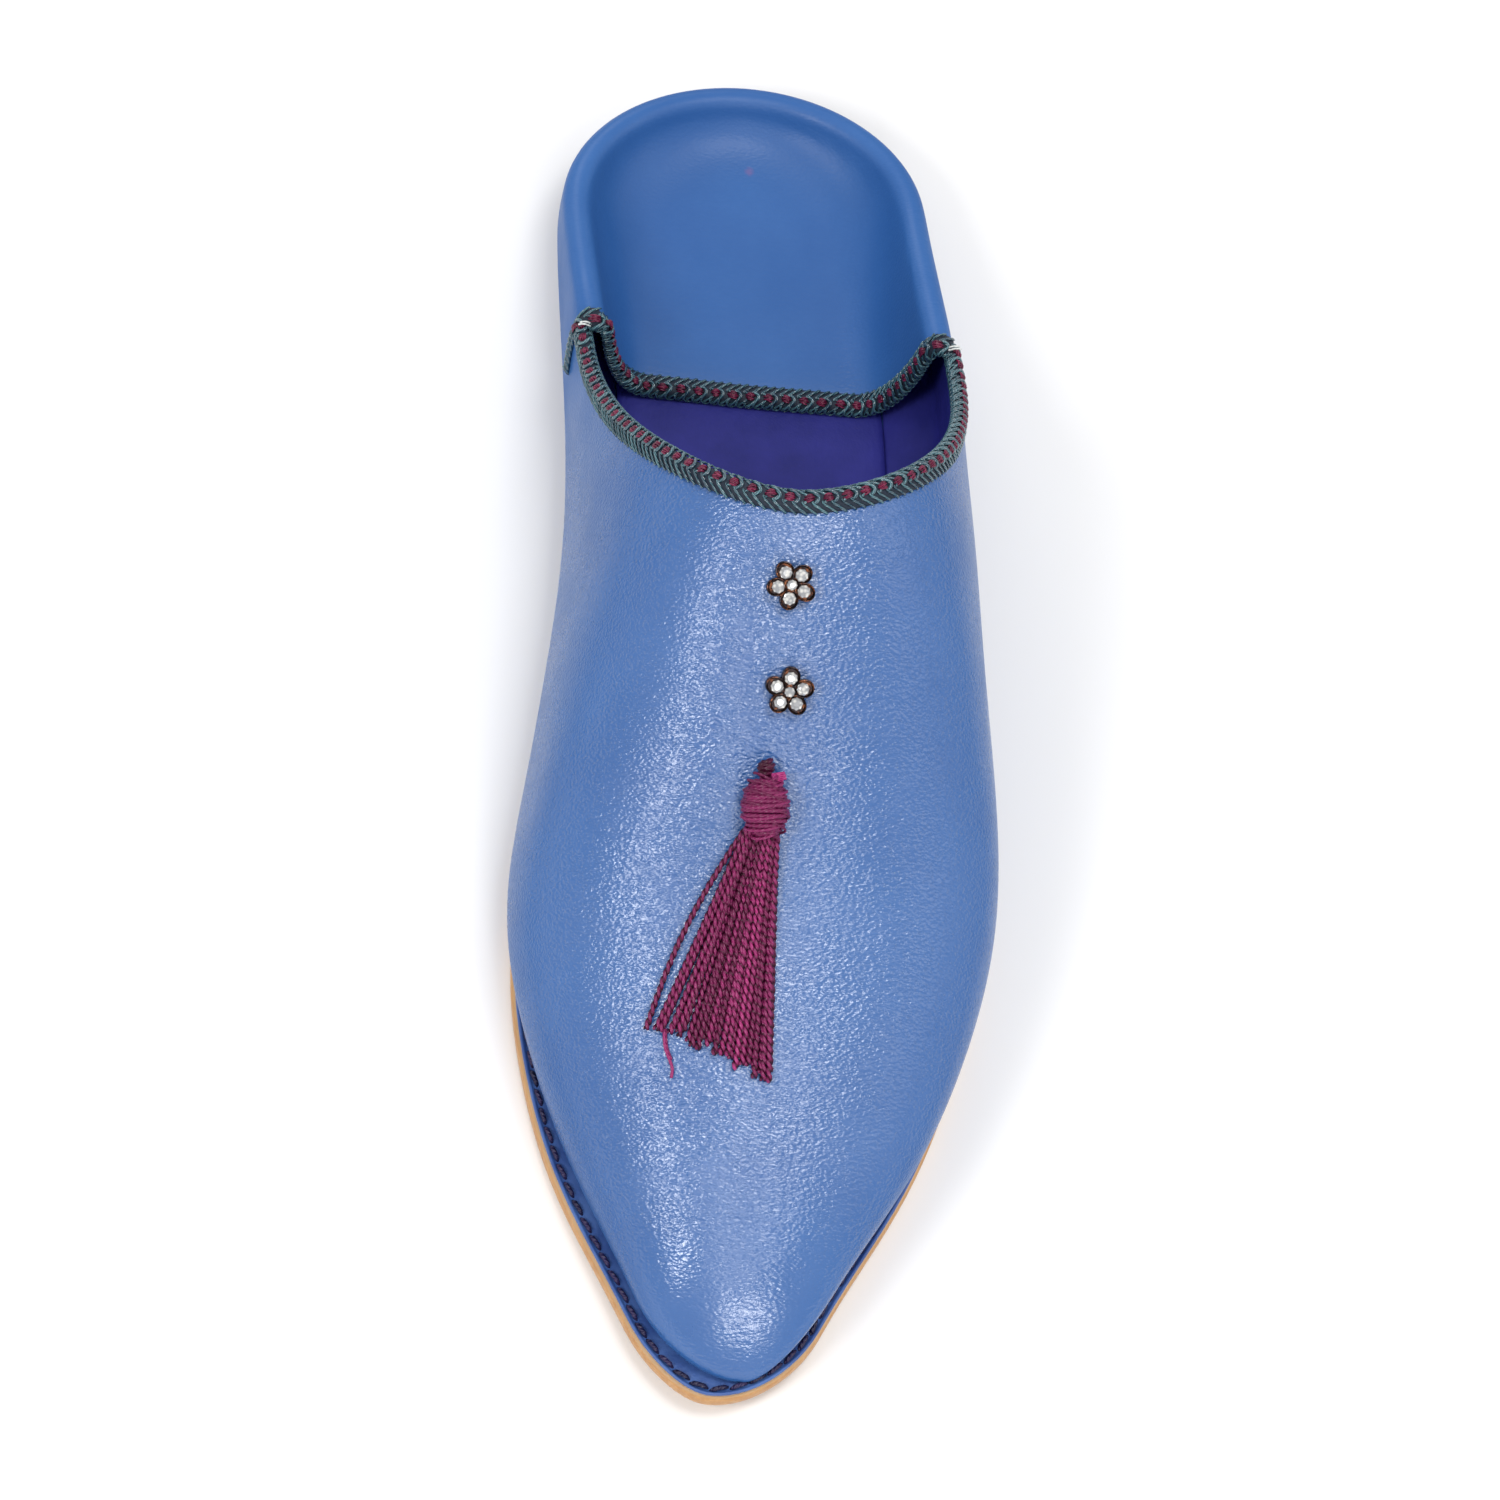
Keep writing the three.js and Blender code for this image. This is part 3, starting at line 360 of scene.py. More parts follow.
def outline_of(node, wanted):
    """The outermost closed edge line round the faces of a CAD piece for which wanted(face) holds."""
    shape = bmesh.new()
    shape.from_mesh(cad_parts[node].data)
    bmesh.ops.remove_doubles(shape, verts=shape.verts, dist=MERGE_DISTANCE)
    faces = [face for face in shape.faces if wanted(face)]
    chosen = set(faces)
    following = {}
    for face in faces:
        for corner in face.loops:
            if sum(other in chosen for other in corner.edge.link_faces) == 1:
                following[corner.vert] = corner.link_loop_next.vert
    outermost, widest = [], 0.0
    while following:
        first, vertex = following.popitem()
        line = [first.co.copy()]
        while vertex is not first:
            line.append(vertex.co.copy())
            vertex = following.pop(vertex)
        width = max(place.x for place in line) - min(place.x for place in line)
        if width > widest:
            outermost, widest = line, width
    shape.free()
    return outermost


def inset_line(line, inset):
    """A closed flat line moved inwards."""
    count = len(line)
    area = sum(line[k - 1].x * line[k].y - line[k].x * line[k - 1].y for k in range(count))
    side = 1 if area > 0 else -1
    moved = []
    for k in range(count):
        ahead = (line[(k + 1) % count] - line[k - 1]).normalized()
        moved.append(line[k] + Vector((-ahead.y, ahead.x, 0)) * side * inset)
    return moved


def walk(line, pitch):
    """Evenly spaced places on a closed line, each with its direction."""
    ring = line + line[:1]
    spans = [(b - a).length for a, b in zip(ring, ring[1:])]
    count = round(sum(spans) / pitch)
    pitch = sum(spans) / count
    places = []
    k, used = 0, 0.0
    for i in range(count):
        aim = i * pitch
        while k < len(spans) - 1 and used + spans[k] < aim:
            used += spans[k]
            k += 1
        share = (aim - used) / max(spans[k], 1e-9)
        places.append((ring[k].lerp(ring[k + 1], share), (ring[k + 1] - ring[k]).normalized()))
    return places


seam = Threads()
random.seed(11)
sole_line = outline_of("outsole", lambda face: face.normal.z < -FLAT)
for place, ahead in walk(inset_line(sole_line, CHANNEL_INSET + CHANNEL_WIDTH / 2), SOLE_PITCH):
    path = []
    for share, height in zip(STITCH_SHARES, SOLE_STITCH_HEIGHTS):
        path.append(place + ahead * share * SOLE_STITCH + Vector((0, 0, height)))
    seam.lay(path, SOLE_THREAD, shade=random.random())
sole_seam = seam.make("sole_seam")

linen = Finish("waxed_thread")
shade = linen.shade()
grime = linen.noise(linen.place(), 420, 3)
tone = linen.blend(shade, (0.30, 0.165, 0.065, 1), (0.44, 0.27, 0.12, 1))
linen.wire("Base Color", linen.blend(linen.fit(grime, 0.4, 0.7, 0, 0.7), tone, (0.13, 0.065, 0.03, 1)))


def twist_height(finish, pitch, starts=1.0):
    """A wave that winds round a thread along its UV map, with a turn in each pitch of millimetres."""
    wrap = finish.node("ShaderNodeUVMap", uv_map="wrap").outputs["UV"]
    parts = finish.node("ShaderNodeSeparateXYZ", {0: wrap})
    turn = finish.sum("MULTIPLY", parts.outputs["Y"], 1 / pitch)
    turn = finish.sum("ADD", finish.sum("MULTIPLY", parts.outputs["X"], starts), turn)
    return finish.sum("SINE", finish.sum("MULTIPLY", turn, 2 * math.pi), 0.0)


linen.wire("Normal", linen.bump(twist_height(linen, 0.9, 2.0), 0.00010))
linen.set(Roughness=0.55)
settle(sole_seam, linen, "sole_leather")

# Rand: a strip of blue leather between sole and upper, rolled at its edge and sewn down through a
# sunk channel with dark waxed thread.
RAND_EDGE = 0.0007
RAND_SLOPE = 0.0002
RAND_CHANNEL = 0.0011
RAND_SINK = 0.00055

rand = merged_copy("rand", "rand_leather")
select_faces(rand, lambda face: face.normal.z > FLAT)
for width, rise in ((RAND_EDGE, 0), (RAND_SLOPE, -RAND_SINK), (RAND_CHANNEL * 0.5, 0)):
    bpy.ops.mesh.inset(thickness=width, depth=rise, use_even_offset=True)
smooth(rand, 1)

navy = Finish("rand_leather")
where = navy.place()
mottle = navy.fit(navy.noise(where, 120, 4, 0.6), 0.35, 0.65)
navy.wire("Base Color", navy.blend(mottle, (0.035, 0.085, 0.29, 1), (0.07, 0.155, 0.42, 1)))
navy.wire("Roughness", navy.fit(mottle, 0, 1, 0.35, 0.5))
navy.wire("Normal", navy.bump(navy.noise(where, 1300, 3), 0.00012))
settle(rand, navy, "rand_leather", "rand")

# Rand seam: dark waxed thread in the rand's channel, in short slanting stitches that ride up in waves.
RAND_STITCH = 0.0034
RAND_PITCH = 0.0038
RAND_THREAD = 0.0009
RAND_STITCH_LIFTS = (-0.0008, -0.00005, 0.00018, -0.00005, -0.0008)

seam = Threads()
rand_line = outline_of("rand", lambda face: face.normal.z > FLAT)
for place, ahead in walk(inset_line(rand_line, RAND_EDGE + RAND_SLOPE + RAND_CHANNEL / 2), RAND_PITCH):
    side = Vector((-ahead.y, ahead.x, 0))
    lean = random.uniform(0.00012, 0.00030)
    path = []
    for share, lift in zip(STITCH_SHARES, RAND_STITCH_LIFTS):
        path.append(place + ahead * share * RAND_STITCH + side * lean * 2 * share + Vector((0, 0, lift)))
    seam.lay(path, RAND_THREAD, shade=random.random())
rand_seam = seam.make("rand_seam")

dark_linen = Finish("dark_waxed_thread")
shade = dark_linen.shade()
dark_linen.wire("Base Color", dark_linen.blend(shade, (0.012, 0.010, 0.045, 1), (0.035, 0.022, 0.09, 1)))
dark_linen.wire("Normal", dark_linen.bump(twist_height(dark_linen, 0.9, 2.0), 0.00010))
dark_linen.set(Roughness=0.42)
settle(rand_seam, dark_linen, "rand_leather")

# Insole: a sock of thin violet lining leather over its board, glued flat. Its edge runs under the lining,
# furthest where the waist is narrow, so that no gap shows between them.
INSOLE_REACH = 0.0027
INSOLE_LEAST = 0.3
WAIST_FRONT = 0.004
WAIST_BACK = 0.078

insole = merged_copy("insole", "insole_sock")
shape = bmesh.new()
shape.from_mesh(insole.data)
for vertex in shape.verts:
    outwards = Vector((vertex.normal.x, vertex.normal.y, 0))
    fore = max(INSOLE_LEAST, (vertex.co.y - WAIST_FRONT) / 0.012)
    aft = max(INSOLE_LEAST, (WAIST_BACK - vertex.co.y) / 0.006)
    if outwards.length > 0.3:
        vertex.co += outwards.normalized() * INSOLE_REACH * min(1, fore, aft)
shape.to_mesh(insole.data)
shape.free()
smooth(insole, 2)

violet = Finish("lining_leather")
where = violet.place()
mottle = violet.fit(violet.noise(where, 60, 5, 0.6), 0.3, 0.7)
violet.wire("Base Color", violet.blend(mottle, (0.016, 0.020, 0.19, 1), (0.034, 0.036, 0.29, 1)))
violet.wire("Roughness", violet.fit(mottle, 0, 1, 0.45, 0.62))
grain = violet.bump(violet.noise(where, 1100, 3, 0.6), 0.00010)
violet.wire("Normal", violet.bump(violet.noise(violet.place((1, 0.3, 1)), 160, 3, 0.6), 0.0003, grain))
violet.set(Specular_IOR_Level=0.25)
settle(insole, violet, "lining_leather", "insole")

# Upper: goat leather dyed blue, lasted wet over the form so that the vamp has no seams. Behind the
# collar it is rolled over a rim and folded down flat on the heel seat. Its flesh side carries the lining.
TURN_LIMIT = math.radians(47)
RIM_HEIGHT = 0.022
SEAT_GRAIN = 0.16
SCUFF_PLACE = (-0.0026, 0.118, 0.0105)

upper = merged_copy("upper", "upper_leather")
shape = bmesh.new()
shape.from_mesh(upper.data)
seed = max(shape.faces, key=lambda face: face.calc_center_median().z * face.normal.z)
outside = {seed}
front = [seed]
while front:
    face = front.pop()
    for edge in face.edges:
        for other in edge.link_faces:
            if other not in outside and other.normal.angle(face.normal) < TURN_LIMIT:
                outside.add(other)
                front.append(other)
cut_edges = {other for face in outside for edge in face.edges for other in edge.link_faces}
for face in shape.faces:
    at_rim = face in cut_edges and face.calc_center_median().z > RIM_HEIGHT
    face.material_index = 0 if face in outside or at_rim else 1
shape.to_mesh(upper.data)
shape.free()
smooth(upper, 2)

# Troughs and ridges of the vamp as (from, to, half width, depth), places in millimetres seen from above.
CREASES = (
    ((-7.2, -2.0), (-5.2, -29.5), 3.0, 0.62),
    ((-2.4, -8.0), (-2.2, -27.5), 1.8, -0.42),
    ((-2.4, -29.0), (-1.6, -33.0), 2.8, 0.60),
    ((3.0, 10.5), (10.5, -1.0), 2.4, 0.16),
    ((-4.0, 9.0), (-15.0, -9.0), 4.0, 0.20),
    ((-24.0, -8.0), (-30.0, -34.0), 5.0, 0.22),
    ((5.5, -24.0), (9.5, -44.0), 4.5, 0.16),
    ((26.0, 2.0), (30.0, -22.0), 5.0, 0.20),
)


def crease_depth(point):
    """How far the leather lies below its smooth shape at a point of the vamp."""
    depth = 0.0
    for start, end, half_width, deep in CREASES:
        a, b = Vector(start) / 1000, Vector(end) / 1000
        spot = Vector((point.x, point.y))
        share = min(1, max(0, (spot - a).dot(b - a) / (b - a).length_squared))
        away = (spot - a.lerp(b, share)).length * 1000 / half_width
        depth += deep / 1000 * math.exp(-away * away)
    return depth


for vertex in upper.data.vertices:
    if vertex.normal.z > 0.2 and vertex.co.y < 0.012 and vertex.co.z > 0.03:
        soft = noise.noise(vertex.co * 70) * 0.00010
        vertex.co -= vertex.normal * (crease_depth(vertex.co) + soft)

blue = Finish("upper_leather")
where = blue.place()
mottle = blue.fit(blue.noise(where, 22, 4, 0.6), 0.3, 0.7)
base = blue.blend(mottle, (0.027, 0.108, 0.335, 1), (0.040, 0.136, 0.385, 1))
slant = (0, 0, math.radians(28))
pebble = blue.fit(blue.cells(blue.place((0.62, 1.0, 1.0), slant), 2100, "SMOOTH_F1"), 0.0, 0.75)
fine = blue.noise(blue.place((0.45, 1.0, 1.0), slant), 1500, 2, 0.6)
patch = blue.fit(blue.noise(where, 60, 3, 0.55), 0.35, 0.65)
base = blue.blend(blue.fit(fine, 0.35, 0.65, 0.10, 0.0), base, (0.016, 0.085, 0.29, 1))
scuffed = blue.node("ShaderNodeVectorMath", {0: where, 1: SCUFF_PLACE}, operation="DISTANCE")
scuff = blue.sum("ADD", scuffed.outputs["Value"], blue.fit(fine, 0, 1, -0.0006, 0.0006))
base = blue.blend(blue.fit(scuff, 0.0003, 0.0012, 0.32, 0.0), base, (0.28, 0.10, 0.24, 1))
blue.wire("Base Color", base)
spot = blue.node("ShaderNodeSeparateXYZ", {0: blue.node("ShaderNodeTexCoord").outputs["Object"]})
seat_share = blue.fit(spot.outputs["Y"], 0.045, 0.062, 1.0, SEAT_GRAIN)
beside = blue.fit(spot.outputs["X"], 0.0135, 0.0185)
beyond = blue.fit(spot.outputs["X"], 0.0185, 0.0235, 1.0, 0.0)
behind = blue.fit(spot.outputs["Y"], 0.080, 0.120, 0.55, 0.0)
rubbed = blue.sum("MULTIPLY", blue.sum("MULTIPLY", beside, beyond), behind)
polished = blue.fit(spot.outputs["Y"], -0.121, -0.106, 0.35, 1.0)
grain_share = blue.sum("MULTIPLY", blue.sum("MAXIMUM", seat_share, rubbed), polished)
grain = blue.bump(pebble, 0.00014, strength=grain_share)
grain = blue.bump(fine, 0.00020, grain, strength=grain_share)
blue.wire("Normal", grain)
blue.wire("Coat Normal", grain)
dull = blue.fit(seat_share, SEAT_GRAIN, 1.0, 0.16, 0.0)
blue.wire("Roughness", blue.sum("ADD", blue.fit(patch, 0, 1, 0.22, 0.33), dull))
turned = blue.node("ShaderNodeLayerWeight", {"Blend": 0.5}).outputs["Facing"]
wax = blue.fit(seat_share, SEAT_GRAIN, 1.0, 0.0, 0.58)
wax = blue.sum("MULTIPLY", wax, blue.fit(turned, 0.08, 0.42, 1.0, 0.0))
blue.wire("Coat Weight", wax)
blue.set(Coat_Roughness=0.17)
gloss = blue.fit(seat_share, SEAT_GRAIN, 1.0, 0.36, 0.95)
gloss = blue.sum("MULTIPLY", gloss, blue.fit(turned, 0.10, 0.50, 1.0, 0.25))
blue.wire("Specular IOR Level", gloss)
upper.data.materials.append(blue.material)
upper.data.materials.append(violet.material)
settle(upper, None, "upper_leather", "upper")


# Edge braids: a hand-sewn binding over the collar of the vamp, and the same over the front edge of the
# folded quarter. Teal silk is worked in herringbone over a core tape, near-black partly in its own colour
# and partly as painted shade in the gaps, with tufts of magenta between.
BRAID_PAST_EDGE = 0.00148
BRAID_PERIOD = 0.00345
RIM_RISE = 0.0021
RIM_STATIONS = 8
RIM_SIDE_HEIGHT = 0.0326
HALF_LEATHER = 0.00085
COLLAR_WAY = 10.1
COLLAR_SPARE = 0.0024
TAIL_TOP = Vector((0, 0.0690, 0.0324))
TAIL_DROP = 0.0095
TAIL_FORWARD = 0.0045
HEEL_WAY = 6.2
CORE_SINK = 0.00022
CORE_DEPTH = 0.0004
# Cross-section of the binding, out of the leather and past its edge, from the outer stitches' feet.
BINDING = ((1.00, -2.5), (1.22, -1.6), (1.50, -0.6), (1.62, 0.2), (1.42, 1.1), (0.85, 1.75), (0.0, 2.05))
LINING_SIDE = ((-0.85, 1.75), (-1.28, 1.0), (-1.30, -0.2), (-1.18, -1.2), (-1.02, -2.0))
UNDER_FLAP = ((-0.55, 1.85),)
# One thread of a tuft, as shares of its reach and metres off the braid.
TUFT_ARCH = ((-1, -0.0002), (-0.5, 0.00022), (0.05, 0.00036), (0.6, 0.0002), (1, -0.0002))


def flat_patch(face):
    """The corners of the flat face that a triangle is part of."""
    patch = {face}
    front = [face]
    while front:
        for edge in front.pop().edges:
            for other in edge.link_faces:
                if other not in patch and other.normal.angle(face.normal) < 0.01:
                    patch.add(other)
                    front.append(other)
    return {vertex for member in patch for vertex in member.verts}


def braid_stations(node, raised, out_hint, past_hint):
    """Places along the leather edge under a braid: edge middle, way out of the leather, way past it."""
    shape = bmesh.new()
    shape.from_mesh(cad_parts[node].data)
    bmesh.ops.remove_doubles(shape, verts=shape.verts, dist=MERGE_DISTANCE)
    shape.verts.index_update()
    caps = []
    for face in shape.faces:
        corners = flat_patch(face)
        span = max((a.co - b.co).length for a in corners for b in corners)
        if len(corners) == 8 and span < 0.0036:
            caps.append(corners)
    layer = min(caps, key=lambda corners: sum(vertex.co.x for vertex in corners))
    rings = []
    done = set()
    while layer:
        rings.append([vertex.co.copy() for vertex in sorted(layer, key=lambda vertex: vertex.index)])
        done |= layer
        layer = {edge.other_vert(vertex) for vertex in layer for edge in vertex.link_edges} - done
    shape.free()
    stations = []
    for ring in rings:
        centre = sum(ring, Vector()) / len(ring)
        wide = max(ring, key=lambda point: (point - centre).length) - centre
        others = [point - centre for point in ring if (point - centre).length > 0.95 * wide.length]
        out = Vector()
        for arm in others:
            out += arm if arm.dot(wide) > 0 else -arm
        out.normalize()
        aside = [point - centre - out * (point - centre).dot(out) for point in ring]
        past = max(aside, key=lambda way: way.length)
        past.normalize()
        stations.append([centre, out, past])
    middle = len(stations) // 2
    for side, hint in ((1, out_hint), (2, past_hint)):
        if stations[middle][side].dot(hint) < 0:
            stations[middle][side].negate()
        for order in (range(middle + 1, len(stations)), range(middle - 1, -1, -1)):
            near = middle
            for k in order:
                if stations[k][side].dot(stations[near][side]) < 0:
                    stations[k][side].negate()
                near = k
    for station in stations:
        station[0] = station[0] - station[2] * BRAID_PAST_EDGE - station[1] * raised
    return stations


def outer_wall(side, y, z):
    """The place on the outside of the wall at a height, and the way out of the leather."""
    hit, normal, _, _ = upper_tree.ray_cast(Vector((side * 0.09, y, z)), Vector((-side, 0, 0)))
    return hit, normal


def over_the_rim(inner, side):
    """Stations over the rolled rim, from the end of the folded edge to the outside of the wall."""
    hit, normal = outer_wall(side, inner[0].y, RIM_SIDE_HEIGHT)
    outer = hit - normal * HALF_LEATHER
    middle = (inner[0] + outer) / 2
    arm = inner[0] - middle
    stations = []
    for k in range(1, RIM_STATIONS + 1):
        angle = math.pi * k / RIM_STATIONS
        reach = arm * math.cos(angle) + Vector((0, 0, RIM_RISE)) * math.sin(angle)
        out = reach.normalized()
        past = inner[2] - out * inner[2].dot(out)
        stations.append([middle + reach, out, past.normalized()])
    return stations


class EdgeRun:
    """A smooth run through stations, asked for by the length from its start."""

    def __init__(self, stations):
        self.stations = stations
        self.marks = [0.0]
        for a, b in zip(stations, stations[1:]):
            self.marks.append(self.marks[-1] + (b[0] - a[0]).length)
        self.length = self.marks[-1]

    def at(self, length):
        k = 0
        while k < len(self.marks) - 2 and self.marks[k + 1] < length:
            k += 1
        t = (length - self.marks[k]) / (self.marks[k + 1] - self.marks[k])
        a, b = self.stations[k], self.stations[k + 1]
        before = self.stations[max(k - 1, 0)][0]
        after = self.stations[min(k + 2, len(self.stations) - 1)][0]
        if 0 <= t <= 1:
            p = 2 * a[0] + (b[0] - before) * t + (2 * before - 5 * a[0] + 4 * b[0] - after) * t * t
            p = (p + (3 * a[0] - before - 3 * b[0] + after) * t * t * t) / 2
        else:
            p = a[0].lerp(b[0], t)
        out = a[1].lerp(b[1], t).normalized()
        past = a[2].lerp(b[2], t)
        past = (past - out * past.dot(out)).normalized()
        return p, out, past


class Binding:
    """Places on the braid: a length along the edge, a way over its cross-section, and a lift."""

    def __init__(self, run, section):
        self.run = run
        self.section = [Vector(point) / 1000 for point in section]
        self.ways = [0.0]
        for a, b in zip(self.section, self.section[1:]):
            self.ways.append(self.ways[-1] + (b - a).length)

    def at(self, length, way, lift=0.0):
        way = way / 1000
        k = 0
        while k < len(self.ways) - 2 and self.ways[k + 1] < way:
            k += 1
        t = (way - self.ways[k]) / (self.ways[k + 1] - self.ways[k])
        spot = self.section[k].lerp(self.section[k + 1], t)
        sides = self.section[min(k + 1, len(self.section) - 1)] - self.section[k]
        before = self.section[k] - self.section[k - 1] if k else sides
        after = self.section[k + 2] - self.section[k + 1] if k + 2 < len(self.section) else sides
        flow = before.lerp(sides, min(0.5 + t, 1)) if t < 0.5 else sides.lerp(after, t - 0.5)
        proud = Vector((flow.y, -flow.x)).normalized()
        spot = spot + proud * lift
        p, out, past = self.run.at(length)
        return p + out * spot.x + past * spot.y


def soften(points, rounds=2):
    """A finer, rounder line through the same places (corner cutting)."""
    for _ in range(rounds):
        cut = [points[0]]
        for a, b in zip(points, points[1:]):
            cut += [a.lerp(b, 0.25), a.lerp(b, 0.75)]
        points = cut + [points[-1]]
    return points


def sew_braid(binding, teal, magenta, end_way, seed, rolls, start, stop):
    """Herringbone strands, edge loops and tufts, worked from one end of the edge to the other. The
    pattern rolls over towards the lining by so many millimetres at the start, middle and end."""
    draw = random.Random(seed)

    def at(length, way, lift=0.0):
        share = min(max(length / binding.run.length, 0), 1)
        near = (1 - abs(2 * share - 1)) ** 0.7
        roll = (rolls[0] if share < 0.5 else rolls[2]) * (1 - near) + rolls[1] * near
        return binding.at(length, min(way + roll * min(1, max(0, way) / 2.6), end_way), lift)

    half = BRAID_PERIOD / 2
    count = int((stop - start) / half)
    for i in range(count):
        base = start + (i + 0.3) * half
        thick = i % 2 == 0
        width = 0.00066 if thick else 0.00050
        lift = 0.00012 if thick else -0.00012
        wobble = draw.uniform(-0.06, 0.06)
        course = [(5.7, -0.20, 0), (5.1, 0.05, lift), (4.4, 0.50, lift), (3.75, 0.88, lift)]
        course += [(3.15, 1.08, lift), (2.6, 0.86, lift), (2.2, 0.52, 0)]
        leg = [(2.6, 0.35, 0), (2.1, 0.42, 0), (1.4, 0.95, 0.00002), (0.7, 1.45, 0), (0.05, 1.9, -0.0003)]
        back = [(5.3, -0.05, 0), (6.0, -0.25, 0), (7.0, -0.3, 0)]
        if end_way > 7.5:
            back += [(8.2, -0.15, 0), (9.3, 0.25, 0), (10.0, 0.5, -0.0003)]
        for line, size in ((course, width), (leg, width * 0.82), (back, width * 0.8)):
            spots = [at(base + (step + wobble) * half, way, up) for way, step, up in line]
            teal.lay(soften(spots, 1), size, 6, draw.uniform(0.25, 1.0))
        ring = [(4.5, -0.36), (5.1, -0.46), (5.75, -0.25), (5.95, 0.02)]
        ring += [(5.75, 0.30), (5.1, 0.50), (4.5, 0.44)]
        spots = [at(base + step * half, way, 0.00020) for way, step in ring]
        teal.lay(soften(spots, 1), 0.00032, 5, draw.uniform(0.6, 1.0))
        if thick:
            for k in range(5):
                way = 2.62 + 0.27 * k + draw.uniform(-0.05, 0.05)
                tilt = draw.uniform(-0.30, 0.12)
                reach = 0.60 - 0.08 * abs(k - 2) + draw.uniform(-0.05, 0.05)
                spots = []
                for share, up in TUFT_ARCH:
                    step = base + (0.10 + share * reach) * half
                    spots.append(at(step, way - tilt * share, up))
                magenta.lay(spots, 0.00036, 5, draw.random())


def core_strip(name, binding, first_way, last_way, start, stop):
    """The folded tape under the braid, one closed strip that hugs the leather edge; its near-black tone is
    partly its own colour and partly painted shade in the gaps between strands.
    """
    rows = max(2, int((stop - start) / 0.0012))
    steps = 14
    ways = [first_way + (last_way - first_way) * k / steps for k in range(steps + 1)]
    points = []
    faces = []
    wide = 2 * len(ways)
    for r in range(rows + 1):
        length = start + (stop - start) * r / rows
        points += [binding.at(length, way, -CORE_SINK) for way in ways]
        points += [binding.at(length, way, -CORE_SINK - CORE_DEPTH) for way in reversed(ways)]
    for r in range(rows):
        for k in range(wide):
            a, b = r * wide + k, r * wide + (k + 1) % wide
            faces.append((a, b, b + wide, a + wide))
    faces.append(tuple(range(wide))[::-1])
    faces.append(tuple(range(rows * wide, (rows + 1) * wide)))
    mesh = bpy.data.meshes.new(name)
    mesh.from_pydata([tuple(point) for point in points], [], faces)
    mesh.polygons.foreach_set("use_smooth", [True] * len(mesh.polygons))
    piece = add_object(name, mesh)
    shape = bmesh.new()
    shape.from_mesh(mesh)
    bmesh.ops.recalc_face_normals(shape, faces=shape.faces)
    shape.to_mesh(mesh)
    shape.free()
    return piece


def tail_end(threads, side, draw):
    """The braid's end, run down the outside of the wall from the rim and lost under a last stitch."""
    for strand in range(3):
        line = []
        for k in range(13):
            t = k / 12
            y = TAIL_TOP.y - TAIL_FORWARD * t ** 1.5 + 0.0006 * (strand - 1) * (1 - 0.8 * t)
            z = TAIL_TOP.z - TAIL_DROP * t
            hit, normal = outer_wall(side, y, z)
            line.append(hit + normal * (0.00045 + (0.0003 if strand == 1 else 0) - 0.0006 * (t > 0.95)))
        threads.lay(line, 0.0009, 6, draw.uniform(0.2, 0.9))
    for k in range(6):
        t = (k + 0.7) / 6.6
        y = TAIL_TOP.y - TAIL_FORWARD * t ** 1.5
        z = TAIL_TOP.z - TAIL_DROP * t
        cross = []
        for share in (-1, -0.5, 0, 0.5, 1):
            hit, normal = outer_wall(side, y + share * 0.0011 * (1 - 0.6 * t), z + share * 0.0005)
            cross.append(hit + normal * (0.0011 - 0.0009 * share * share))
        threads.lay(cross, 0.0006, 6, draw.uniform(0.5, 1.0))


def silk(name, twist, tones, ply_gap_shade, ply_gap_shade_top, ply_gap_shade_share, depth):
    """Twisted silk: tone by the thread's shade, with painted shade darkening it where its plies meet."""
    finish = Finish(name)
    shade = finish.shade()
    ply = twist_height(finish, *twist)
    tone = finish.blend(shade, *tones)
    # painted shade: the colour goes darker low between the plies, where shade falls
    tone = finish.blend(finish.fit(ply, -1, ply_gap_shade_top, ply_gap_shade_share, 0.0), tone, ply_gap_shade)
    finish.wire("Base Color", tone)
    finish.wire("Normal", finish.bump(ply, depth))
    return finish


teal_tones = ((0.010, 0.040, 0.078, 1), (0.100, 0.235, 0.275, 1))
teal_silk = silk("teal_silk", (1.5, 3.0), teal_tones, (0.006, 0.016, 0.040, 1), 0.2, 0.65, 0.00006)
teal_silk.set(Roughness=0.24, Specular_IOR_Level=1.0)

magenta_tones = ((0.10, 0.005, 0.034, 1), (0.26, 0.018, 0.075, 1))
magenta_silk = silk("magenta_silk", (0.9, 2.0), magenta_tones, (0.035, 0.002, 0.016, 1), 0.0, 0.5, 0.00005)
magenta_silk.set(Roughness=0.38)

core_tape_and_gap_shade = Finish("core_tape_and_gap_shade")
where = core_tape_and_gap_shade.place()
weave = core_tape_and_gap_shade.noise(where, 2200, 2)
# painted shade: the tape's tone is pushed near black so that the gaps between the teal strands read as shade
core_tape_and_gap_shade.wire("Base Color", core_tape_and_gap_shade.blend(weave, (0.004, 0.008, 0.022, 1), (0.014, 0.030, 0.055, 1)))
core_tape_and_gap_shade.wire("Normal", core_tape_and_gap_shade.bump(weave, 0.0001))
core_tape_and_gap_shade.set(Roughness=0.7)

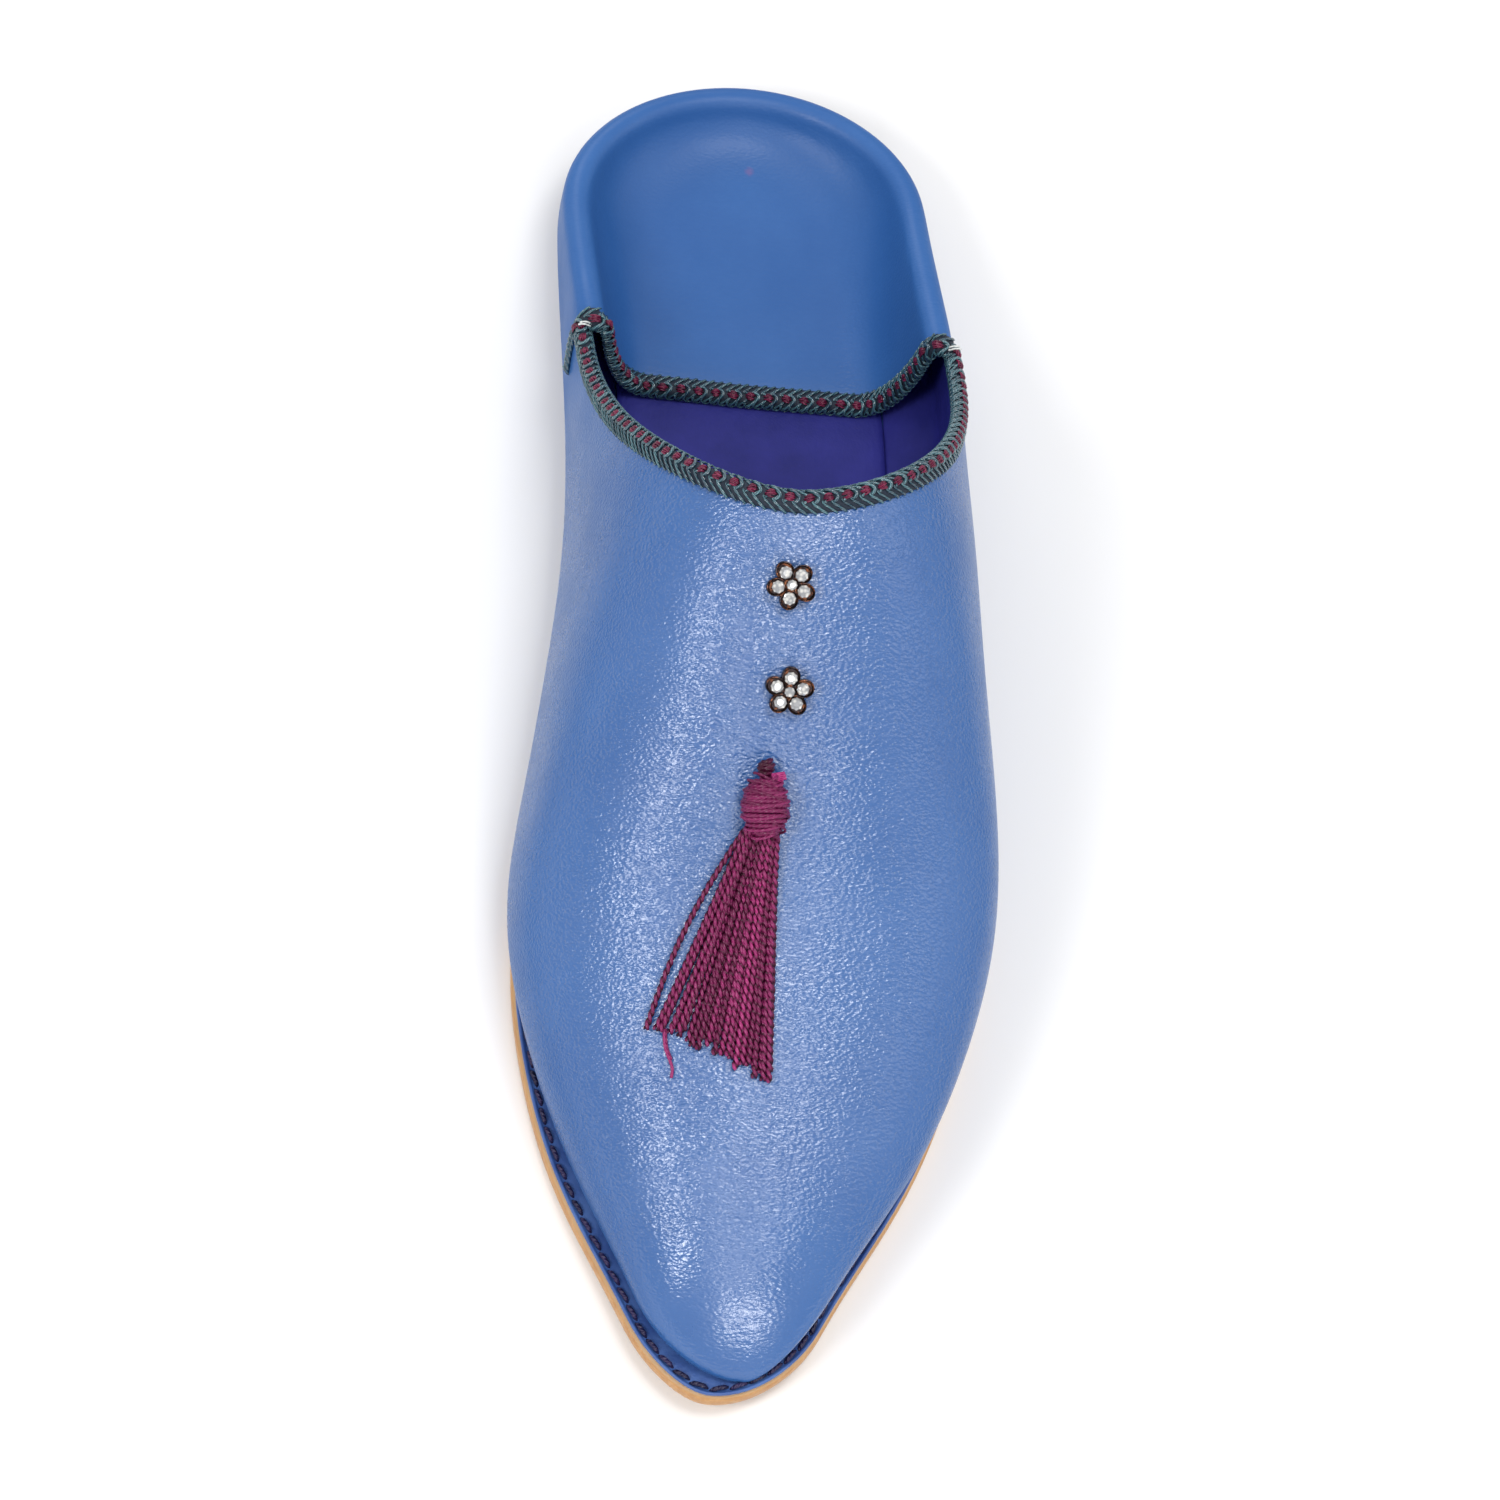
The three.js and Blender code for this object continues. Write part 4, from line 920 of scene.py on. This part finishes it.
upper_mesh = upper.data
upper_tree = BVHTree.FromPolygons(
    [vertex.co for vertex in upper_mesh.vertices], [tuple(face.vertices) for face in upper_mesh.polygons]
)
collar = braid_stations("collar_braid", 0.0, Vector((0, 0, 1)), Vector((0, 1, 0)))
quarter = braid_stations("heel_braid", 0.00085, Vector((0, 0, 1)), Vector((0, -1, 0)))
quarter = over_the_rim(quarter[0], -1)[::-1] + quarter + over_the_rim(quarter[-1], 1)
collar_run = EdgeRun(collar)
heel_run = EdgeRun(quarter)
collar_binding = Binding(collar_run, BINDING + LINING_SIDE)
heel_binding = Binding(heel_run, BINDING + UNDER_FLAP)
for name, binding, end_way, seed, rolls in (
    ("collar_braid", collar_binding, COLLAR_WAY, 3, (1.5, 0.0, 0.9)),
    ("heel_braid", heel_binding, HEEL_WAY, 5, (0.0, 0.0, 0.0)),
):
    teal, magenta = Threads(), Threads()
    spare = COLLAR_SPARE if name == "collar_braid" else 0.0
    first, last = -spare, binding.run.length + spare
    sew_braid(binding, teal, magenta, end_way, seed, rolls, first, last)
    core = core_strip(name + "_core", binding, 0.35, min(end_way, 9.8), first, last)
    if name == "heel_braid":
        for side in (-1, 1):
            tail_end(teal, side, random.Random(side + 5))
    settle(core, core_tape_and_gap_shade, "braid", name)
    settle(teal.make(name + "_teal"), teal_silk, "braid", name)
    settle(magenta.make(name + "_tufts"), magenta_silk, "braid", name)

# A pale cotton tack holds the end of each braid at the top of the wall.
tack = Threads()
for side, station in ((-1, collar[0]), (1, collar[-1])):
    middle = station[0] + Vector((0, 0.0020, 0.0026))
    for k in range(2):
        lean = Vector((side * (0.0002 - 0.0003 * k), 0.0005 * (k - 1), 0.0002))
        line = [middle + lean - station[1] * 0.0002 - Vector((side * 0.0011, 0, 0.0004))]
        line += [middle + lean + Vector((0, 0, 0.0006)), middle + lean + station[1] * 0.0012]
        tack.lay(soften(line, 2), 0.00036, 5, 0.9)
cotton = Finish("pale_cotton")
cotton_tone = cotton.noise(cotton.place(), 1500, 2)
cotton.wire("Base Color", cotton.blend(cotton_tone, (0.62, 0.66, 0.66, 1), (0.86, 0.88, 0.86, 1)))
cotton.wire("Normal", cotton.bump(twist_height(cotton, 0.8, 2.0), 0.00004))
cotton.set(Roughness=0.45)
settle(tack.make("braid_tacks"), cotton, "braid")

# Flower studs: pressed petals of dark plated metal, each a cup with a foiled rhinestone set in it, and
# one stone in the middle. A real stud's prongs go through the leather. None is modelled here, and the
# cups stand 0.6 to 0.9 mm clear of it.
CUP_RADIUS = 0.00172
CUP_DEPTH = 0.0017
STONE_RADIUS = 0.00122
CUP_SINK = 0.00075
STONE_TILT = 0.10

bronze = Finish("dark_plated_metal")
where = bronze.place()
worn = bronze.fit(bronze.noise(where, 900, 3), 0.50, 0.72)
bronze.wire("Base Color", bronze.blend(worn, (0.022, 0.016, 0.017, 1), (0.26, 0.095, 0.042, 1)))
bronze.wire("Roughness", bronze.fit(worn, 0, 1, 0.22, 0.34))
bronze.wire("Normal", bronze.bump(bronze.noise(where, 2500, 2), 0.00003))
bronze.set(Metallic=0.95)

crystal = Finish("rhinestone")
where = crystal.place()
# painted reflection: grey cells over the white foil colour stand in for facets that mirror darker
# surroundings
painted_facet_reflection = crystal.fit(crystal.cells(where, 1300), 0.25, 0.6)
crystal.wire("Base Color", crystal.blend(painted_facet_reflection, (0.90, 0.89, 0.85, 1), (0.40, 0.41, 0.43, 1)))
crystal.wire("Roughness", crystal.fit(painted_facet_reflection, 0, 1, 0.04, 0.10))
crystal.set(Metallic=0.45, Coat_Weight=1.0, Coat_Roughness=0.02)


def cup_model():
    """One petal: a disc raised to a wall, with a rolled rim and a hollow for its stone."""
    bpy.ops.mesh.primitive_cylinder_add(vertices=20, radius=CUP_RADIUS, depth=CUP_DEPTH)
    cup = bpy.context.object
    select_faces(cup, lambda face: face.normal.z > 0.9)
    for width, rise in ((0.00006, 0.00012), (0.00014, 0.00004), (0.00012, -0.00012), (0.00008, -0.00045)):
        bpy.ops.mesh.inset(thickness=width, depth=rise)
    bpy.ops.object.mode_set(mode="OBJECT")
    bpy.ops.object.shade_smooth_by_angle(angle=math.radians(40))
    return cup


def stone_model():
    """A round stone with eight sides, two rows of facets and a flat table."""
    bpy.ops.mesh.primitive_cylinder_add(vertices=8, radius=STONE_RADIUS, depth=0.0003)
    stone = bpy.context.object
    select_faces(stone, lambda face: face.normal.z > 0.9)
    for rise, shrink in ((0.00030, 0.80), (0.00022, 0.62)):
        bpy.ops.mesh.extrude_region_move(TRANSFORM_OT_translate={"value": (0, 0, rise)})
        bpy.ops.transform.resize(value=(shrink, shrink, 1), center_override=(0, 0, 0))
        bpy.ops.transform.rotate(value=math.pi / 8, orient_axis="Z", center_override=(0, 0, 0))
    bpy.ops.mesh.select_all(action="SELECT")
    bpy.ops.mesh.quads_convert_to_tris()
    bpy.ops.object.mode_set(mode="OBJECT")
    return stone


def placed_copies(model, name, places):
    """Copies of a model at the given places, each with its own mesh, joined into one piece."""
    copies = []
    for place in places:
        copy = add_object(name, model.data.copy())
        copy.data.transform(place)
        copies.append(copy)
    bpy.ops.object.select_all(action="DESELECT")
    for copy in copies:
        copy.select_set(True)
    bpy.context.view_layer.objects.active = copies[0]
    bpy.ops.object.join()
    copies[0].name = name
    return copies[0]


cup = cup_model()
stone = stone_model()
draw = random.Random(8)
for stud in ("flower_stud_1", "flower_stud_2"):
    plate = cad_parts[stud].data
    normals = {}
    for face in plate.polygons:
        key = tuple(round(value, 2) for value in face.normal)
        normals[key] = normals.get(key, 0) + face.area * (face.normal.z > 0)
    up = Vector(max(normals, key=normals.get)).normalized()
    middles = []
    for i in range(6):
        corners = [vertex.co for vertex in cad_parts[f"{stud}_stone_{i + 1}"].data.vertices]
        middles.append(sum(corners, Vector()) / len(corners))
    reach = (middles[1] - middles[0]).normalized()
    side = up.cross(reach).normalized()
    reach = side.cross(up)
    upright = Matrix((reach, side, up)).transposed().to_4x4()
    cups, stones = [], []
    for i, middle in enumerate(middles):
        away = middle - middles[0]
        level = middles[0] + (away - up * away.dot(up)) * 0.96
        lean = Matrix.Rotation(draw.uniform(-STONE_TILT, STONE_TILT), 4, "X")
        lean = lean @ Matrix.Rotation(draw.uniform(-STONE_TILT, STONE_TILT), 4, "Y")
        twirl = Matrix.Rotation(draw.uniform(0, 1), 4, "Z")
        base = Matrix.Translation(level - up * CUP_SINK) @ upright
        size = 1.0 if i else 0.82
        if i:
            around = away.normalized()
            petal = Matrix((around, up.cross(around), up)).transposed().to_4x4()
            shift = Matrix.Translation(level - up * CUP_SINK + around * 0.00022)
            cups.append(shift @ petal @ Matrix.Diagonal((1.12, 1.0, 1, 1)))
        else:
            cups.append(base @ Matrix.Diagonal((size, size, 1, 1)))
        high = 0.00085 if i else 0.00100
        seated = Matrix.Translation(up * high) @ base @ lean @ twirl
        stones.append(seated @ Matrix.Diagonal((size, size, 1, 1)))
    setting = placed_copies(cup, stud + "_setting", cups)
    settle(setting, bronze, "stud_metal", stud)
    gems = placed_copies(stone, stud + "_stones", stones)
    settle(gems, crystal, "rhinestone", *[f"{stud}_stone_{i + 1}" for i in range(6)])
for model in (cup, stone):
    bpy.data.objects.remove(model)

# Tassel: silk cords hung from a knot at the vamp's middle. The head is wound round and round with the
# same silk, and the skirt is a fan of two-ply cords that lie on the leather, cut by hand at the bottom.
PART_SHIFT = Vector((-0.0043, -0.1347, 0))
SKIRT_TOP = (Vector((-0.0008, 0.0950, 0)), Vector((0.0049, 0.0950, 0)))
SKIRT_END = (Vector((-0.0161, 0.0605, 0)), Vector((0.0062, 0.0525, 0)))
SKIRT_CORDS = 18
UNDER_CORDS = 16
CORD_WIDTH = 0.00118
CORD_BEAD = 0.00160
STEPS = 84
STRAY = ((-0.0131, 0.0608), (-0.0130, 0.0590), (-0.0127, 0.0572))
STRAY += ((-0.0118, 0.0553), (-0.0112, 0.0538), (-0.0114, 0.0522))


def on_leather(x, y, lift):
    """The place on the vamp under a point, lifted off the leather."""
    hit, normal, _, _ = upper_tree.ray_cast(Vector((x, y, 0.15)), Vector((0, 0, -1)))
    return hit + normal * lift, normal


def lay_cord(threads, path, normals, draw, shade, fray):
    """Two plies wound round each other along a path, painted lighter on top and darker where each runs under
    the other.
    """
    phase = draw.uniform(0, math.pi)
    for ply in (0, math.pi):
        line, shades = [], []
        length = 0.0
        for k, centre in enumerate(path):
            if k:
                length += (centre - path[k - 1]).length
            ahead = (path[min(k + 1, len(path) - 1)] - path[max(k - 1, 0)]).normalized()
            up = (normals[k] - ahead * normals[k].dot(ahead)).normalized()
            side = ahead.cross(up)
            angle = phase + ply + math.pi * length / CORD_BEAD
            open_out = 1 + fray * max(0, (k - 0.93 * len(path)) / (0.07 * len(path)))
            radius = 0.24 * CORD_WIDTH * open_out
            line.append(centre + (up * math.sin(angle) + side * math.cos(angle)) * radius)
            # painted highlight and shade: each ply's tone rises where it lies on top and falls to dark where
            # it dives under
            shades.append(shade * (0.22 + 0.92 * math.sin(angle)))
        threads.lay(line, CORD_WIDTH * 0.58, 6, shades, 0.8)


draw = random.Random(21)
skirt = Threads()
for under in (True, False):
    count = UNDER_CORDS if under else SKIRT_CORDS
    for i in range(2 if under else 0, count):
        share = i / (count - 1)
        spread = share + draw.uniform(-0.012, 0.012)
        if not under and i == 0:
            spread = -0.005
        top = SKIRT_TOP[0].lerp(SKIRT_TOP[1], share)
        end = SKIRT_END[0].lerp(SKIRT_END[1], spread)
        end.y += draw.uniform(-0.0011, 0.0011) + (0.0012 if under else 0)
        if not under and i == 1:
            end.y += 0.001
        if not under and i in (4, 5):
            end.y += 0.0014
        bow = draw.uniform(-0.0003, 0.0003) - (0.0016 if not under and i == 0 else 0)
        layer = 0 if under else 1 + (i % 2)
        path, normals = [], []
        for k in range(STEPS + 1):
            t = k / STEPS
            spot = top.lerp(end, t) + PART_SHIFT
            spot.x += bow * math.sin(math.pi * t)
            stack = (1 - t) ** 1.5
            lift = CORD_WIDTH * (0.5 + 0.55 * layer * stack + (0.30 if layer else 0.0) * (1 - stack))
            lift += 0.0012 * (1 - t) ** 4
            place, normal = on_leather(spot.x, spot.y, lift)
            path.append(place)
            normals.append(normal)
        # painted shade: the cords of the under layer get 0.55 of their random tone, for the shade beneath
        # the top layer
        lay_cord(skirt, path, normals, draw, shade=draw.uniform(0.3, 1.0) * (0.55 if under else 1), fray=0.5)
line = [on_leather(x + PART_SHIFT.x, y + PART_SHIFT.y, 0.0005)[0] for x, y in STRAY]
skirt.lay(soften(line, 2), 0.00062, 6, 0.75)
skirt.lay([point + Vector((0.00035, 0.0001, 0)) for point in soften(line[:4], 2)], 0.0004, 5, 0.6)

tassel_tones = ((0.034, 0.0004, 0.012, 1), (0.44, 0.040, 0.200, 1))
tassel_silk = silk("tassel_silk", (1.1, 3.0), tassel_tones, (0.045, 0.001, 0.020, 1), 0.0, 0.25, 0.00005)
tassel_silk.set(Roughness=0.30, Specular_IOR_Level=0.35)
settle(skirt.make("tassel_skirt_cords"), tassel_silk, "silk", "tassel_skirt")


def wound_oval(threads, node, turns, thread_width, draw, shades, crossing=0.0, fill=0.94):
    """Thread wound round an oval body that lies down the vamp. The oval is that of the CAD piece."""
    low, high = (Vector(corner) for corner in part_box(node))
    centre = (low + high) / 2
    _, normal = on_leather(centre.x, centre.y, 0)
    corners = [vertex.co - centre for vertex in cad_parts[node].data.vertices]
    down = Vector((0.08, -1, 0)).normalized()
    down = (down - normal * normal.dot(down)).normalized()
    side = down.cross(normal)
    sizes = [max(abs(corner.dot(axis)) for corner in corners) for axis in (side, normal, down)]
    half_side, half_up, half_long = (size * fill for size in sizes)
    steps = turns * 22
    path = []
    for k in range(steps + 1):
        t = k / steps
        along = -math.cos(math.pi * (0.06 + 0.88 * t))
        along = along * 0.96 + 0.04 * math.sin(9 * t)
        girth = math.sqrt(max(0.02, 1 - along * along * 0.92))
        angle = 2 * math.pi * turns * t
        slant = crossing * math.sin(angle + 1.0)
        swell = 1 + 0.035 * math.sin(3.7 * angle + 6 * t)
        path.append(
            centre
            + side * half_side * girth * swell * math.cos(angle)
            + normal * half_up * girth * swell * math.sin(angle)
            + down * (half_long * along + slant)
        )
    threads.lay(path, thread_width, 6, draw.uniform(*shades), 0.8)
    return centre, side, normal, down


head_threads = Threads()
wound_oval(head_threads, "tassel_head", 15, 0.00088, draw, (0.30, 0.45))
wound_oval(head_threads, "tassel_head", 7, 0.00060, draw, (0.55, 0.7), crossing=0.0009, fill=1.0)
wound_oval(head_threads, "tassel_head", 6, 0.00055, draw, (0.2, 0.3), crossing=-0.0012, fill=1.0)
wound_oval(head_threads, "tassel_head", 5, 0.0012, draw, (0.1, 0.2), fill=0.8)
settle(head_threads.make("tassel_head_winding"), tassel_silk, "silk", "tassel_head")

knot_threads = Threads()
knot = wound_oval(knot_threads, "tassel_knot", 4, 0.00095, draw, (0.0, 0.04), fill=0.75)
centre, side, normal, down = knot
wound_oval(knot_threads, "tassel_knot", 3, 0.0007, draw, (0.08, 0.15), crossing=0.0006, fill=0.85)
for k in range(3):
    start = centre + side * (k - 1) * 0.0007 - normal * 0.0006 + down * 0.0008
    line = [start, start + down * 0.0012, start + down * 0.0026 + normal * 0.0004]
    knot_threads.lay(soften(line, 2), 0.0009, 6, 0.25 + 0.2 * k)
for k in range(7):
    fan = math.radians(-6 + 12 * k)
    reach = 0.0024 + 0.0002 * (k % 3)
    start = centre - side * 0.0009 + down * 0.0012 + normal * 0.0008
    way = down * math.sin(fan) - side * math.cos(fan)
    line = [start, start + way * reach * 0.5 + normal * 0.0006, start + way * reach + normal * 0.0002]
    knot_threads.lay(soften(line, 2), 0.00055, 5, 1.6)
settle(knot_threads.make("tassel_knot_loops"), tassel_silk, "silk", "tassel_knot")

low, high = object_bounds()
